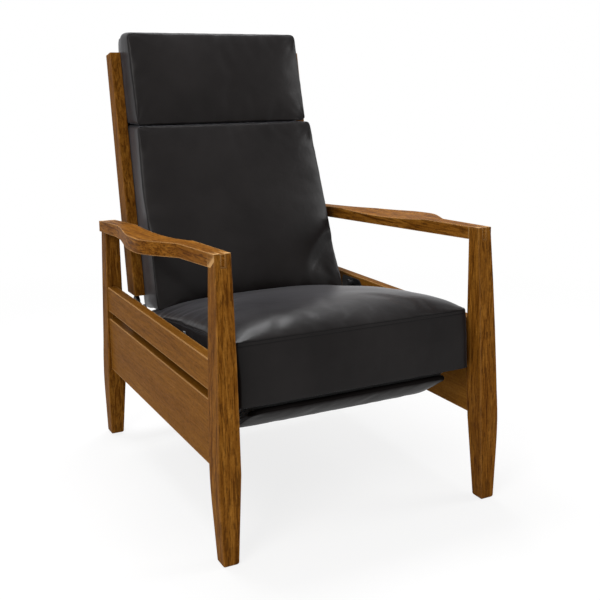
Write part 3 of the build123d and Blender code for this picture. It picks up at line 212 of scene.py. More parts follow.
def mapped(nt, scale=(1, 1, 1), turn=(0, 0, 0), move=(0, 0, 0)):
    place = nt.nodes.new("ShaderNodeTexCoord").outputs["Object"]
    inputs = {"Vector": place, "Scale": scale, "Rotation": turn, "Location": move}
    return add_node(nt, "ShaderNodeMapping", inputs).outputs["Vector"]


EDGE_SAMPLES = 4
EDGE_GAIN = 5.0
EDGE_PALENESS_MOST = 0.8


def edge_highlight_and_wear(nt, radius, edge_paleness):
    """0 on flat faces, rising to a cap along edges that stand out: edge wear on steel, a painted highlight along the
    oak's edges.
    """
    rounded = add_node(nt, "ShaderNodeBevel", {"Radius": radius}, samples=EDGE_SAMPLES)
    flat = nt.nodes.new("ShaderNodeNewGeometry")
    dot = add_node(nt, "ShaderNodeVectorMath", {0: rounded.outputs["Normal"], 1: flat.outputs["Normal"]},
                   operation="DOT_PRODUCT")
    away = math_node(nt, "SUBTRACT", 1.0, dot.outputs["Value"])
    return math_node(nt, "MINIMUM", math_node(nt, "MULTIPLY", away, EDGE_GAIN * edge_paleness), EDGE_PALENESS_MOST)


def bump(nt, height, kind, normal=None):
    strength, distance = kind
    inputs = {"Height": height, "Strength": strength, "Distance": distance}
    if normal is not None:
        inputs["Normal"] = normal
    return add_node(nt, "ShaderNodeBump", inputs).outputs["Normal"]


# Oak. The figure is stretched along the grain, and the pores are short lines along it.
FIGURE_SCALE = (1, 0.06)
PORE_SCALE = (340.0, 34.0)
SEED_SHIFT = (0.37, 0.61, 0.83)
OAK_WANDER = (8.0, 3.0, 0.5, 0.4)
OAK_RINGS = (120.0, 4.0, 0.55, 1.2)
OAK_STREAKS = (330.0, 3.0, 0.6, 0.5)
OAK_PORES = (1.0, 2.0, 0.5, 0.0)
OAK_FLECKS = (210.0, 4.0, 0.65, 0.0)
OAK_MIDDLE = (0.178, 0.0720, 0.0080)
OAK_BODY = ((0.32, (0.078, 0.0260, 0.0026)), (0.45, (0.148, 0.0550, 0.0062)),
            (0.58, (0.200, 0.0810, 0.0105)), (0.76, (0.285, 0.1270, 0.0210)))
OAK_CLOUDY = ((0.30, (0.84, 0.80, 0.76)), (0.70, (1.10, 1.12, 1.14)))
OAK_MOTTLED = ((0.34, (0.80, 0.77, 0.74)), (0.66, (1.17, 1.18, 1.20)))
OAK_MOTTLE_SHARE = 0.75
OAK_FIBRE = ((0.34, (0.76, 0.72, 0.68)), (0.66, (1.16, 1.16, 1.16)))
OAK_FIBRE_SHARE = 0.7
OAK_PORE_MASK = ((0.38, WHITE), (0.47, BLACK))
OAK_PORE_SHARE = 0.58
OAK_PORE_TONE = (0.040, 0.013, 0.002)
# Painted highlight along the oak's edges: how far in it reaches, and its pale tone
OAK_EDGE_HIGHLIGHT_RADIUS = 0.0035
OAK_EDGE_HIGHLIGHT_TONE = (0.52, 0.300, 0.120)
OAK_ROUGHNESS = ((0.3, grey(0.56)), (0.7, grey(0.44)))
OAK_BUMP = (0.25, 0.0003)
OAK_GLOSS = 0.015


def oak(name, axis, lean, seed, tone, figure, edge_paleness):
    """Golden brown oak with its grain along X, Y or Z; lean tips a Z grain towards the rear.

    tone is how light it is, figure how strong its streaks are, and the last argument how pale its edges are: a
    painted highlight along them.
    """
    material, nt, shader = new_material(name)
    shift = tuple(seed * share for share in SEED_SHIFT)

    def along_grain(scales):
        across, along = scales
        return mapped(nt, tuple(along if letter == axis else across for letter in "xyz"), (lean, 0, 0), shift)

    def toned(colour):
        return tuple(part * tone for part in colour)

    broad = along_grain(FIGURE_SCALE)
    wander = noise_node(nt, broad, OAK_WANDER)
    rings = noise_node(nt, broad, OAK_RINGS)
    streaks = noise_node(nt, broad, OAK_STREAKS)
    pores = noise_node(nt, along_grain(PORE_SCALE), OAK_PORES)
    flecks = noise_node(nt, mapped(nt, move=shift), OAK_FLECKS)
    body = ramp(nt, rings, [(place, toned(colour)) for place, colour in OAK_BODY])
    body = mix_colour(nt, "MIX", figure, toned(OAK_MIDDLE), body)
    body = mix_colour(nt, "MULTIPLY", 1.0, body, ramp(nt, wander, OAK_CLOUDY))
    body = mix_colour(nt, "MULTIPLY", OAK_MOTTLE_SHARE, body, ramp(nt, flecks, OAK_MOTTLED))
    body = mix_colour(nt, "MULTIPLY", OAK_FIBRE_SHARE * figure, body, ramp(nt, streaks, OAK_FIBRE))
    pore_mask = ramp(nt, pores, OAK_PORE_MASK)
    pore_share = math_node(nt, "MULTIPLY", pore_mask, OAK_PORE_SHARE * figure)
    body = mix_colour(nt, "MIX", pore_share, body, OAK_PORE_TONE)
    # Painted highlight: the edges are mixed towards a pale tone
    body = mix_colour(nt, "MIX", edge_highlight_and_wear(nt, OAK_EDGE_HIGHLIGHT_RADIUS, edge_paleness), body, OAK_EDGE_HIGHLIGHT_TONE)
    height = math_node(nt, "SUBTRACT", streaks, pore_mask)
    set_inputs(nt, shader, {"Base Color": body, "Roughness": ramp(nt, streaks, OAK_ROUGHNESS),
                            "Normal": bump(nt, height, OAK_BUMP), "Specular IOR Level": OAK_GLOSS})
    return material


# Leather
HIDE_CLOUDS = (7.0, 3.0, 0.5, 0.0)
HIDE_TONES = ((0.3, (0.0054, 0.0042, 0.0040)), (0.7, (0.0108, 0.0090, 0.0088)))
HIDE_ROUGHNESS = ((0.3, grey(0.30)), (0.7, grey(0.38)))
HIDE_GRAIN_SCALE = 800
HIDE_SOFT = (140.0, 3.0, 0.5, 0.0)
HIDE_CREASES = (34.0, 2.0, 0.5, 0.8)
PEBBLE_BUMP = (0.22, 0.00025)
CREASE_BUMP = (0.35, 0.0012)
# The seams' dark tone is painted shade in their grooves; their roughness is duller
SEAM_PAINTED_SHADE = (0.0012, 0.0010, 0.0010)
SEAM_ROUGHNESS = 0.8
SHEEN_ROUGHNESS = 0.4
SHEEN_TINT = (0.88, 0.90, 1.0, 1)


def leather(name, gloss, sheen):
    """Nearly black smooth leather with a fine pebble, soft creases and seams darkened with painted shade."""
    material, nt, shader = new_material(name)
    place = mapped(nt)
    cloud = noise_node(nt, place, HIDE_CLOUDS)
    seam_shade_mask = add_node(nt, "ShaderNodeAttribute", {}, attribute_name="seam").outputs["Fac"]
    # Painted shade: the seam grooves are darkened
    body = mix_colour(nt, "MIX", seam_shade_mask, ramp(nt, cloud, HIDE_TONES), SEAM_PAINTED_SHADE)
    rough = mix_colour(nt, "MIX", seam_shade_mask, ramp(nt, cloud, HIDE_ROUGHNESS), grey(SEAM_ROUGHNESS))
    grain = add_node(nt, "ShaderNodeTexVoronoi", {"Vector": place, "Scale": HIDE_GRAIN_SCALE}, feature="SMOOTH_F1")
    height = math_node(nt, "ADD", grain.outputs["Distance"], noise_node(nt, place, HIDE_SOFT))
    pebble = bump(nt, height, PEBBLE_BUMP)
    creases = noise_node(nt, place, HIDE_CREASES)
    set_inputs(nt, shader, {"Base Color": body, "Roughness": rough, "Normal": bump(nt, creases, CREASE_BUMP, pebble),
                            "Specular IOR Level": gloss, "Sheen Weight": sheen,
                            "Sheen Roughness": SHEEN_ROUGHNESS, "Sheen Tint": SHEEN_TINT})
    return material


# Steel and cloth
STEEL_SPECKS = (380.0, 4.0, 0.6, 0.0)
STEEL_TONES = ((0.35, (0.012, 0.012, 0.013)), (0.7, (0.030, 0.030, 0.031)))
STEEL_ROUGHNESS = ((0.3, grey(0.36)), (0.7, grey(0.55)))
STEEL_METALLIC = 0.7
STEEL_WORN_RADIUS = 0.0008
STEEL_WORN_TONE = (0.16, 0.16, 0.165)
STEEL_BUMP = (0.12, 0.0002)
STEEL_WORDS = ("plate", "link", "crank", "bar_", "stud", "screw", "pins", "bracket")
WAVE_SPACING = 0.314        # how far apart the waves of Blender's texture are at scale 1
WEAVE_DISTORTION = 0.6
WEAVE_REACH = (0.2, 0.9)
WEAVE_ROUGHNESS = 0.9
WEAVE_BUMP = (0.5, 0.0004)
# A cloth is its dark and light tones and how far apart its threads are
WEBBING = ((0.030, 0.028, 0.026), (0.075, 0.070, 0.064), 0.0016)
DUST_COVER = (grey(0.010), grey(0.022), 0.0009)


def dark_steel(name):
    material, nt, shader = new_material(name)
    speck = noise_node(nt, mapped(nt), STEEL_SPECKS)
    worn = edge_highlight_and_wear(nt, STEEL_WORN_RADIUS, 1.0)
    body = mix_colour(nt, "MIX", worn, ramp(nt, speck, STEEL_TONES), STEEL_WORN_TONE)
    set_inputs(nt, shader, {"Base Color": body, "Metallic": STEEL_METALLIC,
                            "Roughness": ramp(nt, speck, STEEL_ROUGHNESS), "Normal": bump(nt, speck, STEEL_BUMP)})
    return material


def woven(name, dark, light, spacing):
    material, nt, shader = new_material(name)
    place = mapped(nt)
    inputs = {"Vector": place, "Scale": WAVE_SPACING / spacing, "Distortion": WEAVE_DISTORTION}
    threads = [add_node(nt, "ShaderNodeTexWave", inputs, bands_direction=axis).outputs["Fac"] for axis in "XYZ"]
    height = math_node(nt, "MAXIMUM", math_node(nt, "MAXIMUM", threads[0], threads[1]), threads[2])
    body = ramp(nt, height, tuple(zip(WEAVE_REACH, (dark, light))))
    set_inputs(nt, shader, {"Base Color": body, "Roughness": WEAVE_ROUGHNESS, "Normal": bump(nt, height, WEAVE_BUMP)})
    return material


# Wood: material, pieces, grain axis, the grain's lean, tone, figure, painted highlight on the
# edges, and the radius and segments of the rounded edges. The first six are made once for each side.
STILE_LEAN = math.atan(0.2)
# The arms' raised tone of 1.14 is painted light: it makes them lighter than the posts, as if lit more
SIDE_WOODS = (("oak_arm", "arm", "y", 0.0, 1.14, 1.0, 0.8, 0.0016, 3),
              ("oak_front_post", "front_post", "z", 0.0, 1.04, 1.0, 0.3, 0.0022, 3),
              ("oak_rear_post", "rear_post", "z", 0.0, 0.86, 1.0, 0.3, 0.0022, 3),
              ("oak_upper_rail", "upper_rail", "y", 0.0, 1.0, 0.45, 4.0, 0.0008, 3),
              ("oak_lower_rail", "lower_rail", "y", 0.0, 1.0, 0.35, 4.0, 0.0008, 3),
              ("oak_stile", "back_stile", "z", STILE_LEAN, 0.95, 0.9, 0.3, 0.0006, 2))
CROSS_RAILS = ("middle_cross_rail", "rear_cross_rail")
INNER_RAILS = ("back_bottom_rail", "back_middle_rail", "back_top_rail", "seat_front_rail", "seat_rear_rail",
               "seat_side_rail_left", "seat_side_rail_right")
CROSS_WOODS = (("oak_cross", CROSS_RAILS, "x", 0.0, 0.9, 0.6, 0.4, 0.0012, 2),
               ("frame_wood", INNER_RAILS, "x", 0.0, 0.5, 0.6, 0.4, 0.0010, 2))
BOARD_EDGE = (0.0010, 2)
WELD_GAP = 0.00002
FLAT_WITHIN = math.radians(0.6)
EDGE_PAST = math.radians(32)
FLAT_FACE_WEIGHT = 80


def paint(name, material):
    mesh = nodes[name].data
    mesh.materials.clear()
    mesh.materials.append(material)


def soften(name, radius, segments):
    """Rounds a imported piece's edges in its shown mesh alone."""
    thing = nodes[name]
    weld = thing.modifiers.new("weld", "WELD")
    weld.merge_threshold = WELD_GAP
    flat = thing.modifiers.new("flat", "DECIMATE")
    flat.decimate_type = "DISSOLVE"
    flat.angle_limit = FLAT_WITHIN
    bevel = thing.modifiers.new("edges", "BEVEL")
    bevel.width = radius
    bevel.segments = segments
    bevel.limit_method = "ANGLE"
    bevel.angle_limit = EDGE_PAST
    bevel.use_clamp_overlap = True
    smooth = thing.modifiers.new("smooth", "WEIGHTED_NORMAL")
    smooth.keep_sharp = False
    smooth.weight = FLAT_FACE_WEIGHT


def finish_wood():
    woods = [(name + side, (piece + side,), *look) for name, piece, *look in SIDE_WOODS for side in SIDES]
    woods += CROSS_WOODS
    for seed, (name, pieces, axis, lean, tone, figure, edge_paleness, radius, segments) in enumerate(woods, start=1):
        material = oak(name, axis, lean, seed, tone, figure, edge_paleness)
        for piece in pieces:
            paint(piece, material)
            soften(piece, radius, segments)


def finish_metal_and_cloth():
    steel = dark_steel("dark_steel")
    for name in nodes:
        if any(word in name for word in STEEL_WORDS):
            paint(name, steel)
    webbing = woven("webbing", *WEBBING)
    cover = woven("dust_cover", *DUST_COVER)
    paint("seat_webbing", webbing)
    paint("back_webbing", webbing)
    paint("seat_dust_cover", cover)
    paint("footrest_board", cover)
    soften("footrest_board", *BOARD_EDGE)


# Leather forms. A cushion counts a across the chair and b along its panel, both from the
# panel's middle. Its sides are rows of points from the front seam to the rear one.
MOVED_Y = -22.3295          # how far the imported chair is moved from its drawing
PANEL_STEP = 8.0
CORNER_SHARES = (0.4, 0.75, 1.0)
FILL_SHARE = 0.86           # how much of its crown a panel has before the simulation
CLOTH_FRAMES = 20
CLOTH_SETTINGS = {"quality": 5, "mass": 0.4, "tension_stiffness": 25, "compression_stiffness": 25,
                  "shear_stiffness": 12, "bending_stiffness": 6, "use_pressure": True,
                  "uniform_pressure_force": 4.0}
LEAST_MOVE = 0.01


def clamp(value, low, high):
    return max(low, min(high, value))


def smooth_step(value, low, high):
    share = clamp((value - low) / (high - low), 0.0, 1.0)
    return share * share * (3 - 2 * share)


def along_curve(places, at):
    """A smooth reading between (place, value) pairs."""
    last = len(places) - 1
    index = 0
    while index < last - 1 and at > places[index + 1][0]:
        index += 1
    low, high = places[index], places[index + 1]
    before = places[max(0, index - 1)]
    after = places[min(last, index + 2)]
    span = high[0] - low[0]
    share = clamp((at - low[0]) / span, 0.0, 1.0)
    start_rate = (high[1] - before[1]) / (high[0] - before[0]) * span
    end_rate = (after[1] - low[1]) / (after[0] - low[0]) * span
    square, cube = share * share, share ** 3
    return ((2 * cube - 3 * square + 1) * low[1] + (cube - 2 * square + share) * start_rate
            + (3 * square - 2 * cube) * high[1] + (cube - square) * end_rate)


def stations(half, corner):
    """Places from -half to half, close together near the edges and evenly spaced between."""
    inner = half - corner
    count = max(2, int(2 * inner / PANEL_STEP))
    middle = [-inner + 2 * inner * i / count for i in range(count + 1)]
    low = [-inner - corner * share for share in reversed(CORNER_SHARES)]
    return low + middle + [-place for place in reversed(low)]


def corner_pull(a, b, half_a, half_b, radius):
    """Moves a point of a rectangle's square corner onto its round one."""
    over_a = abs(a) - (half_a - radius)
    over_b = abs(b) - (half_b - radius)
    if over_a <= 0 or over_b <= 0:
        return a, b
    reach = max(over_a, over_b)
    angle = math.atan2(over_b, over_a)
    new_a = half_a - radius + reach * math.cos(angle)
    new_b = half_b - radius + reach * math.sin(angle)
    return math.copysign(new_a, a), math.copysign(new_b, b)


def outward(a, b, half_a, half_b, radius):
    """The direction out through the rim at a place on it."""
    over_a = max(0.0, abs(a) - (half_a - radius))
    over_b = max(0.0, abs(b) - (half_b - radius))
    length = math.hypot(over_a, over_b)
    if length == 0:
        return (0.0, 0.0)
    return math.copysign(over_a / length, a), math.copysign(over_b / length, b)


def boxed_form(name, half_a, half_b, radius, front, rows, rear):
    """A closed cushion: a front panel, a boxing of rows round it and a rear panel.

    front(a, b) and rear(a, b) give panel points, and rows lists functions that give boxing
    points. Returns the piece, its rim's loops from front to rear and its rear panel's points.
    """
    places_a = stations(half_a, radius)
    places_b = stations(half_b, radius)
    count_a, count_b = len(places_a), len(places_b)
    points, faces = [], []

    def panel(place):
        start = len(points)
        for b in places_b:
            for a in places_a:
                points.append(place(*corner_pull(a, b, half_a, half_b, radius)))
        return start

    def cell(start, i, j):
        return start + j * count_a + i

    front_start = panel(front)
    rear_start = panel(rear)
    for j in range(count_b - 1):
        for i in range(count_a - 1):
            faces.append((cell(front_start, i, j), cell(front_start, i + 1, j),
                          cell(front_start, i + 1, j + 1), cell(front_start, i, j + 1)))
            faces.append((cell(rear_start, i, j), cell(rear_start, i, j + 1),
                          cell(rear_start, i + 1, j + 1), cell(rear_start, i + 1, j)))
    rim = [(i, 0) for i in range(count_a - 1)] + [(count_a - 1, j) for j in range(count_b - 1)]
    rim += [(i, count_b - 1) for i in range(count_a - 1, 0, -1)]
    rim += [(0, j) for j in range(count_b - 1, 0, -1)]
    loops = [[cell(front_start, i, j) for i, j in rim]]
    for row in rows:
        loop = []
        for i, j in rim:
            loop.append(len(points))
            points.append(row(*corner_pull(places_a[i], places_b[j], half_a, half_b, radius)))
        loops.append(loop)
    loops.append([cell(rear_start, i, j) for i, j in rim])
    count = len(rim)
    for near, far in zip(loops, loops[1:]):
        for k in range(count):
            n = (k + 1) % count
            faces.append((near[k], far[k], far[n], near[n]))
    mesh = bpy.data.meshes.new(name)
    mesh.from_pydata([(MM * x, MM * (y + MOVED_Y), MM * z) for x, y, z in points], [], faces)
    form = bmesh.new()
    form.from_mesh(mesh)
    bmesh.ops.recalc_face_normals(form, faces=form.faces)
    form.to_mesh(mesh)
    form.free()
    return place_object(name, mesh), loops, range(rear_start, rear_start + count_a * count_b)


def boxing(row, first, least, bulge, shares):
    """A row beside the front seam, then rows that stand out most half way to the rear one."""
    return [row(*first)] + [row(least + bulge * math.sin(math.pi * share), share) for share in shares]


def inflate(piece, pinned, slack, panel_cap, side_cap, side_points):
    """Fills a cushion by cloth simulation from its pinned seams, and caps how far it moves."""
    mesh = piece.data
    group = piece.vertex_groups.new(name="sewn")
    group.add(sorted(pinned), 1.0, "REPLACE")
    cloth = piece.modifiers.new("cloth", "CLOTH")
    settings = cloth.settings
    for name, value in CLOTH_SETTINGS.items():
        setattr(settings, name, value)
    settings.shrink_min = -slack
    settings.vertex_group_mass = "sewn"
    settings.effector_weights.gravity = 0
    cloth.collision_settings.use_collision = False
    cloth.point_cache.frame_start = 1
    cloth.point_cache.frame_end = CLOTH_FRAMES
    scene = bpy.context.scene
    for number in range(1, CLOTH_FRAMES + 1):
        scene.frame_set(number)
    filled = piece.evaluated_get(bpy.context.evaluated_depsgraph_get())
    ends = [vertex.co.copy() for vertex in filled.to_mesh().vertices]
    filled.to_mesh_clear()
    piece.modifiers.remove(cloth)
    piece.vertex_groups.remove(group)
    scene.frame_set(1)
    moves = [end - vertex.co for end, vertex in zip(ends, mesh.vertices)]
    for part, cap in (("panels", panel_cap), ("sides", side_cap)):
        chosen = [index for index in range(len(moves)) if (index in side_points) == (part == "sides")]
        largest = max(moves[index].length for index in chosen)
        print("cloth", piece.name, part, round(largest / MM, 1), "mm")
        share = min(1.0, cap * MM / max(largest, LEAST_MOVE * MM))
        for index in chosen:
            mesh.vertices[index].co += moves[index] * share


def sew(piece, seams):
    """Draws a seam in along each loop of points: a narrow groove that the leather darkens with painted shade."""
    mesh = piece.data
    form = bmesh.new()
    form.from_mesh(mesh)
    seam_shade_mask = form.verts.layers.float.new("seam")
    form.verts.ensure_lookup_table()
    sewn = [([form.verts[index] for index in loop], width, depth) for loop, width, depth in seams]
    for loop_points, width, depth in sewn:
        edges = []
        for first, second in zip(loop_points, loop_points[1:] + loop_points[:1]):
            edge = form.edges.get((first, second))
            if edge is not None:
                edges.append(edge)
        made = bmesh.ops.bevel(form, geom=edges, offset=width * MM, offset_type="OFFSET", segments=2,
                               profile=0.5, affect="EDGES", clamp_overlap=True)
        strip = set(made["faces"])
        form.normal_update()
        for point in made["verts"]:
            if point.is_valid and all(face in strip for face in point.link_faces):
                point.co -= point.normal * depth * MM
                point[seam_shade_mask] = 1.0
    for face in form.faces:
        face.smooth = True
    form.to_mesh(mesh)
    form.free()


def upholster(form, pinned_loops, slack, panel_cap, side_cap, seams):
    """Fills a form with its rear panel and some loops pinned, sews its seams and smooths it.

    A seam is its loop's number, its width and its depth.
    """
    piece, loops, rear_points = form
    pinned = set(rear_points).union(*(loops[number] for number in pinned_loops))
    inflate(piece, pinned, slack, panel_cap, side_cap, set().union(*loops[1:]))
    sew(piece, [(loops[number], width, depth) for number, width, depth in seams])
    smooth = piece.modifiers.new("smooth", "SUBSURF")
    smooth.levels = 1
    smooth.render_levels = 1
    return piece


# Puckers beside a seam: how far they reach, and how fast the broad and the close ones fade,
# how far apart they are, how their seeds differ and how strong they are
PUCKER_REACH = 90
BROAD_FADE, BROAD_PITCH, BROAD_SEED, BROAD_SHARE = 26, 34, 5, 1.5
CLOSE_FADE, CLOSE_PITCH, CLOSE_SEED, CLOSE_SHARE = 9, 11, 3, 0.9
# Folds that run out of a corner: how far, how soon they begin, how many, their turns at the
# corners, and how far past the corner their angle is read
FOLD_REACH = 24.0
FOLD_RISE = 8.0
FOLD_COUNT = 13
FOLD_TURN_A, FOLD_TURN_B = 1.3, 2.1
FOLD_ORIGIN = 0.001
CROWN_ROUND = 0.55


def gathered(along, away, strength):
    """Small puckers that a seam draws into the leather beside it."""
    if away > PUCKER_REACH:
        return 0.0
    broad_place = Vector((along / BROAD_PITCH, strength * BROAD_SEED, away / PUCKER_REACH))
    close_place = Vector((along / CLOSE_PITCH, strength * CLOSE_SEED, 0))
    broad = math.exp(-away / BROAD_FADE) * noise.noise(broad_place)
    close = math.exp(-away / CLOSE_FADE) * noise.noise(close_place)
    return strength * (BROAD_SHARE * broad + CLOSE_SHARE * close)


def corner_folds(a, b, half_a, half_b, strength):
    """Short folds that run out of a panel's corners."""
    away_a, away_b = half_a - abs(a), half_b - abs(b)
    away = math.hypot(away_a, away_b)
    if away > 4 * FOLD_REACH:
        return 0.0
    angle = math.atan2(away_b, away_a + FOLD_ORIGIN)
    turn = FOLD_TURN_A * (a > 0) + FOLD_TURN_B * (b > 0)
    rise = smooth_step(away, 0.0, FOLD_RISE)
    return strength * rise * math.exp(-away / FOLD_REACH) * math.sin(FOLD_COUNT * angle + turn)


def drawn_crown(a, b, half_a, half_b, power_a, power_b):
    """A panel's crown as a share: full in the middle and none along its seam."""
    side = max(0.0, 1 - abs(a / half_a) ** power_a) ** CROWN_ROUND
    rise = max(0.0, 1 - abs(b / half_b) ** power_b) ** CROWN_ROUND
    return side * rise


# Seat cushion
SEAT_HALF = 278.0
SEAT_FRONT = -371.8
SEAT_REAR = 205.0
SEAT_SEAM_Z = 433.0
SEAT_SLOPE = 0.1
SEAT_BOTTOM = 343.0
SEAT_CORNER = 14.0
SEAT_REAR_DROP = 18.0
SEAT_DROP_Y = (-40.0, 170.0)
SEAT_CROWN_PLACES = ((-371.8, 0.0), (-366.0, 9.0), (-352.0, 22.0), (-330.0, 35.0), (-300.0, 43.0), (-220.0, 46.0),
                     (-138.0, 44.0), (-47.0, 36.0), (40.0, 26.0), (120.0, 19.0), (168.0, 12.0), (205.0, 4.0))
SEAT_CROWN_POWER, SEAT_CROWN_POWER_LOSS = 3.6, 1.2
SEAT_CROWN_POWER_Y = (-100.0, 150.0)
SEAT_CROWN_ROUND = 0.50
SEAT_FULL_Y = (0.0, 110.0)  # the crown is whole behind here, where the back cushion lies
SEAT_SIDE_PUCKER, SEAT_FRONT_PUCKER, SEAT_FOLD = 2.6, 1.0, 2.4
SEAT_SEAM_DROP = 7.0
SEAT_WAIST = 3.0
SEAT_FIRST_ROW = (0.6, 0.0)
SEAT_ROWS = (0.14, 0.3, 0.46, 0.62, 0.78, 0.9)
SEAT_BULGE = (0.8, 1.6)
SEAT_SLACK, SEAT_CAP, SEAT_SIDE_CAP = 0.012, 8.0, 1.5
SEAT_SEAMS = ((0, 1.7, 2.0), (1, 0.8, 0.9), (-1, 1.5, 0.5))
APRON_BOTTOM = 304.0
APRON_LEAN = 12.5
APRON_Y = (300.0, 340.0)    # how far forward the seat's underside falls to the apron


def seat_drop(y):
    """How far the seat's side seams sink towards the back."""
    return SEAT_REAR_DROP * smooth_step(y, *SEAT_DROP_Y)


def seat_seam(y):
    return SEAT_SEAM_Z - SEAT_SLOPE * (y - SEAT_FRONT) - seat_drop(y)


def seat_crown(x, y):
    """How far the seat's top panel stands over its seam."""
    power = SEAT_CROWN_POWER - SEAT_CROWN_POWER_LOSS * smooth_step(y, *SEAT_CROWN_POWER_Y)
    side = max(1 - abs(x / SEAT_HALF) ** power, 0.0) ** SEAT_CROWN_ROUND
    return side * (along_curve(SEAT_CROWN_PLACES, y) + seat_drop(y))


def seat_top(x, y):
    return seat_seam(y) + seat_crown(x, y)


def seat_bottom(y):
    return SEAT_BOTTOM + (APRON_BOTTOM - SEAT_BOTTOM) * smooth_step(-y, *APRON_Y)


def make_seat():
    half_b = (SEAT_REAR - SEAT_FRONT) / 2
    middle = (SEAT_REAR + SEAT_FRONT) / 2

    def top(a, b):
        y = middle + b
        pucker = gathered(b, SEAT_HALF - abs(a), SEAT_SIDE_PUCKER) + gathered(a, half_b + b, SEAT_FRONT_PUCKER)
        pucker += corner_folds(a, b, SEAT_HALF, half_b, SEAT_FOLD)
        fill = FILL_SHARE + (1 - FILL_SHARE) * smooth_step(y, *SEAT_FULL_Y)
        return (a, y, seat_seam(y) + seat_crown(a, y) * fill + pucker)

    def row(out, share):
        def place(a, b):
            out_a, out_b = outward(a, b, SEAT_HALF, half_b, SEAT_CORNER)
            y = middle + b
            high = seat_seam(y) - SEAT_SEAM_DROP
            z = high - share * (high - seat_bottom(y))
            lean = APRON_LEAN * max(0.0, -out_b) * share
            waist = SEAT_WAIST * abs(out_a) * math.cos(math.pi * b / (2 * half_b))
            return (a + out_a * (out - waist), y + out_b * out - lean, z)
        return place

    def under(a, b):
        y = middle + b
        return (a, y - APRON_LEAN * smooth_step(-y, APRON_Y[0], -SEAT_FRONT), seat_bottom(y))

    rows = boxing(row, SEAT_FIRST_ROW, *SEAT_BULGE, SEAT_ROWS)
    form = boxed_form("seat_leather", SEAT_HALF, half_b, SEAT_CORNER, top, rows, under)
    return upholster(form, (0, 1, -2), SEAT_SLACK, SEAT_CAP, SEAT_SIDE_CAP, SEAT_SEAMS)


# Back cushion and head pillow, between the stiles and in front of the webbing
STILE_FRONT_Y = 290.0
STILE_REAR_Y = 354.0
STILE_BOTTOM = 386.0
STILE_FRONT_RAKE = 0.2135
STILE_REAR_RAKE = 0.1765
STILE_INNER = 242.0
WEBBING_AHEAD = 11.5        # how far the webbing lies in front of the stiles' middle
BOXING_FIRST = 0.5
BOXING_BULGE = (0.5, 2.0)
BACK_SLACK, BACK_SIDE_CAP = 0.012, 1.0
BACK_SEAMS = ((0, 2.2, 3.4),)
CUSHION_BOTTOM = 389.0
CUSHION_TOP = 815.0
CUSHION_CORNER = 9.0
CUSHION_CROWN = 17.0
CUSHION_POWERS = (3.2, 5.0)
CUSHION_SIDE_PUCKER, CUSHION_END_PUCKER, CUSHION_FOLD = 1.8, 2.2, 3.0
CUSHION_REST_Y = 149.0
CUSHION_FOOT_GAP = 0.4
CUSHION_FOOT_FREE_Y = 190.0
CUSHION_FOOT_REAR = (300.0, 352.0)
CUSHION_REAR_HALF = STILE_INNER - 0.6
CUSHION_END_OUT = 0.4
CUSHION_FIRST_SHARE = 0.05
CUSHION_ROWS = (0.2, 0.35, 0.5, 0.65, 0.8, 0.9)
CUSHION_CAP = 6.0
CUSHION_SEAM_PLACES = ((380.0, 141.0), (425.0, 157.0), (478.0, 178.0), (529.0, 196.0), (594.0, 222.0),
                       (646.0, 244.0), (698.0, 262.0), (751.0, 278.5), (805.0, 296.0), (833.0, 305.0))
CUSHION_HALF_PLACES = ((380.0, 257.0), (425.0, 256.5), (478.0, 254.0), (529.0, 252.0), (594.0, 251.0),
                       (646.0, 251.0), (698.0, 249.0), (751.0, 246.0), (805.0, 243.3), (833.0, 242.0))
# Creases over the lower corners: a point on each, the way out from it, its reach and depth,
# then the width they share and the soft bulge on their outer side
CREASE_PLACES = (((203.5, 488.5), (0.716, -0.698), 56.0, 4.0), ((-214.0, 470.0), (-0.70, -0.714), 44.0, 2.2))
CREASE_WIDTH = 4.5
CREASE_BULGE = 1.9
CREASE_BULGE_RISE = (0.0, 14.0)
CREASE_BULGE_FALL = (30.0, 100.0)
PILLOW_HALF = 237.5
PILLOW_BOTTOM = 818.0
PILLOW_TOP = 1048.0
PILLOW_REAR = 443.0
PILLOW_REAR_RADIUS = 34.0
PILLOW_CORNER = 12.0
PILLOW_CROWN = 15.0
PILLOW_POWERS = (3.2, 3.0)
PILLOW_SIDE_PUCKER, PILLOW_END_PUCKER, PILLOW_FOLD = 1.6, 2.2, 3.0
PILLOW_STEP = (974.0, 986.0)
PILLOW_REAR_HALF = STILE_INNER - 0.8
PILLOW_SIDE_OUT = 0.4
PILLOW_WIDEN = 1.6
PILLOW_TOP_OUT, PILLOW_BOTTOM_OUT = 1.5, 0.3
PILLOW_FIRST_SHARE = 0.06
PILLOW_ROWS = (0.2, 0.36, 0.52, 0.66, 0.78, 0.88, 0.95)
PILLOW_CAP = 5.0
PILLOW_SEAM_PLACES = ((818.0, 312.0), (900.0, 336.0), (967.0, 355.0), (1010.0, 366.5), (1048.0, 376.0))


def stile_front(z):
    return STILE_FRONT_Y + STILE_FRONT_RAKE * (z - STILE_BOTTOM)


def back_rear(z):
    """The plane of the back's webbing, which carries the cushions."""
    rear = STILE_REAR_Y + STILE_REAR_RAKE * (z - STILE_BOTTOM)
    return (stile_front(z) + rear) / 2 - WEBBING_AHEAD


def creased(x, z):
    """The soft folds that the leather takes on across the cushion's lower corners."""
    depth = 0.0
    for (fold_x, fold_z), (away_x, away_z), reach, deep in CREASE_PLACES:
        away = (x - fold_x) * away_x + (z - fold_z) * away_z
        along = (x - fold_x) * -away_z + (z - fold_z) * away_x
        fade = math.exp(-(along / reach) ** 4)
        bulge = smooth_step(away, *CREASE_BULGE_RISE) * (1 - smooth_step(away, *CREASE_BULGE_FALL))
        depth += deep * fade * math.exp(-(away / CREASE_WIDTH) ** 2)
        depth += CREASE_BULGE * deep * bulge * fade
    return depth


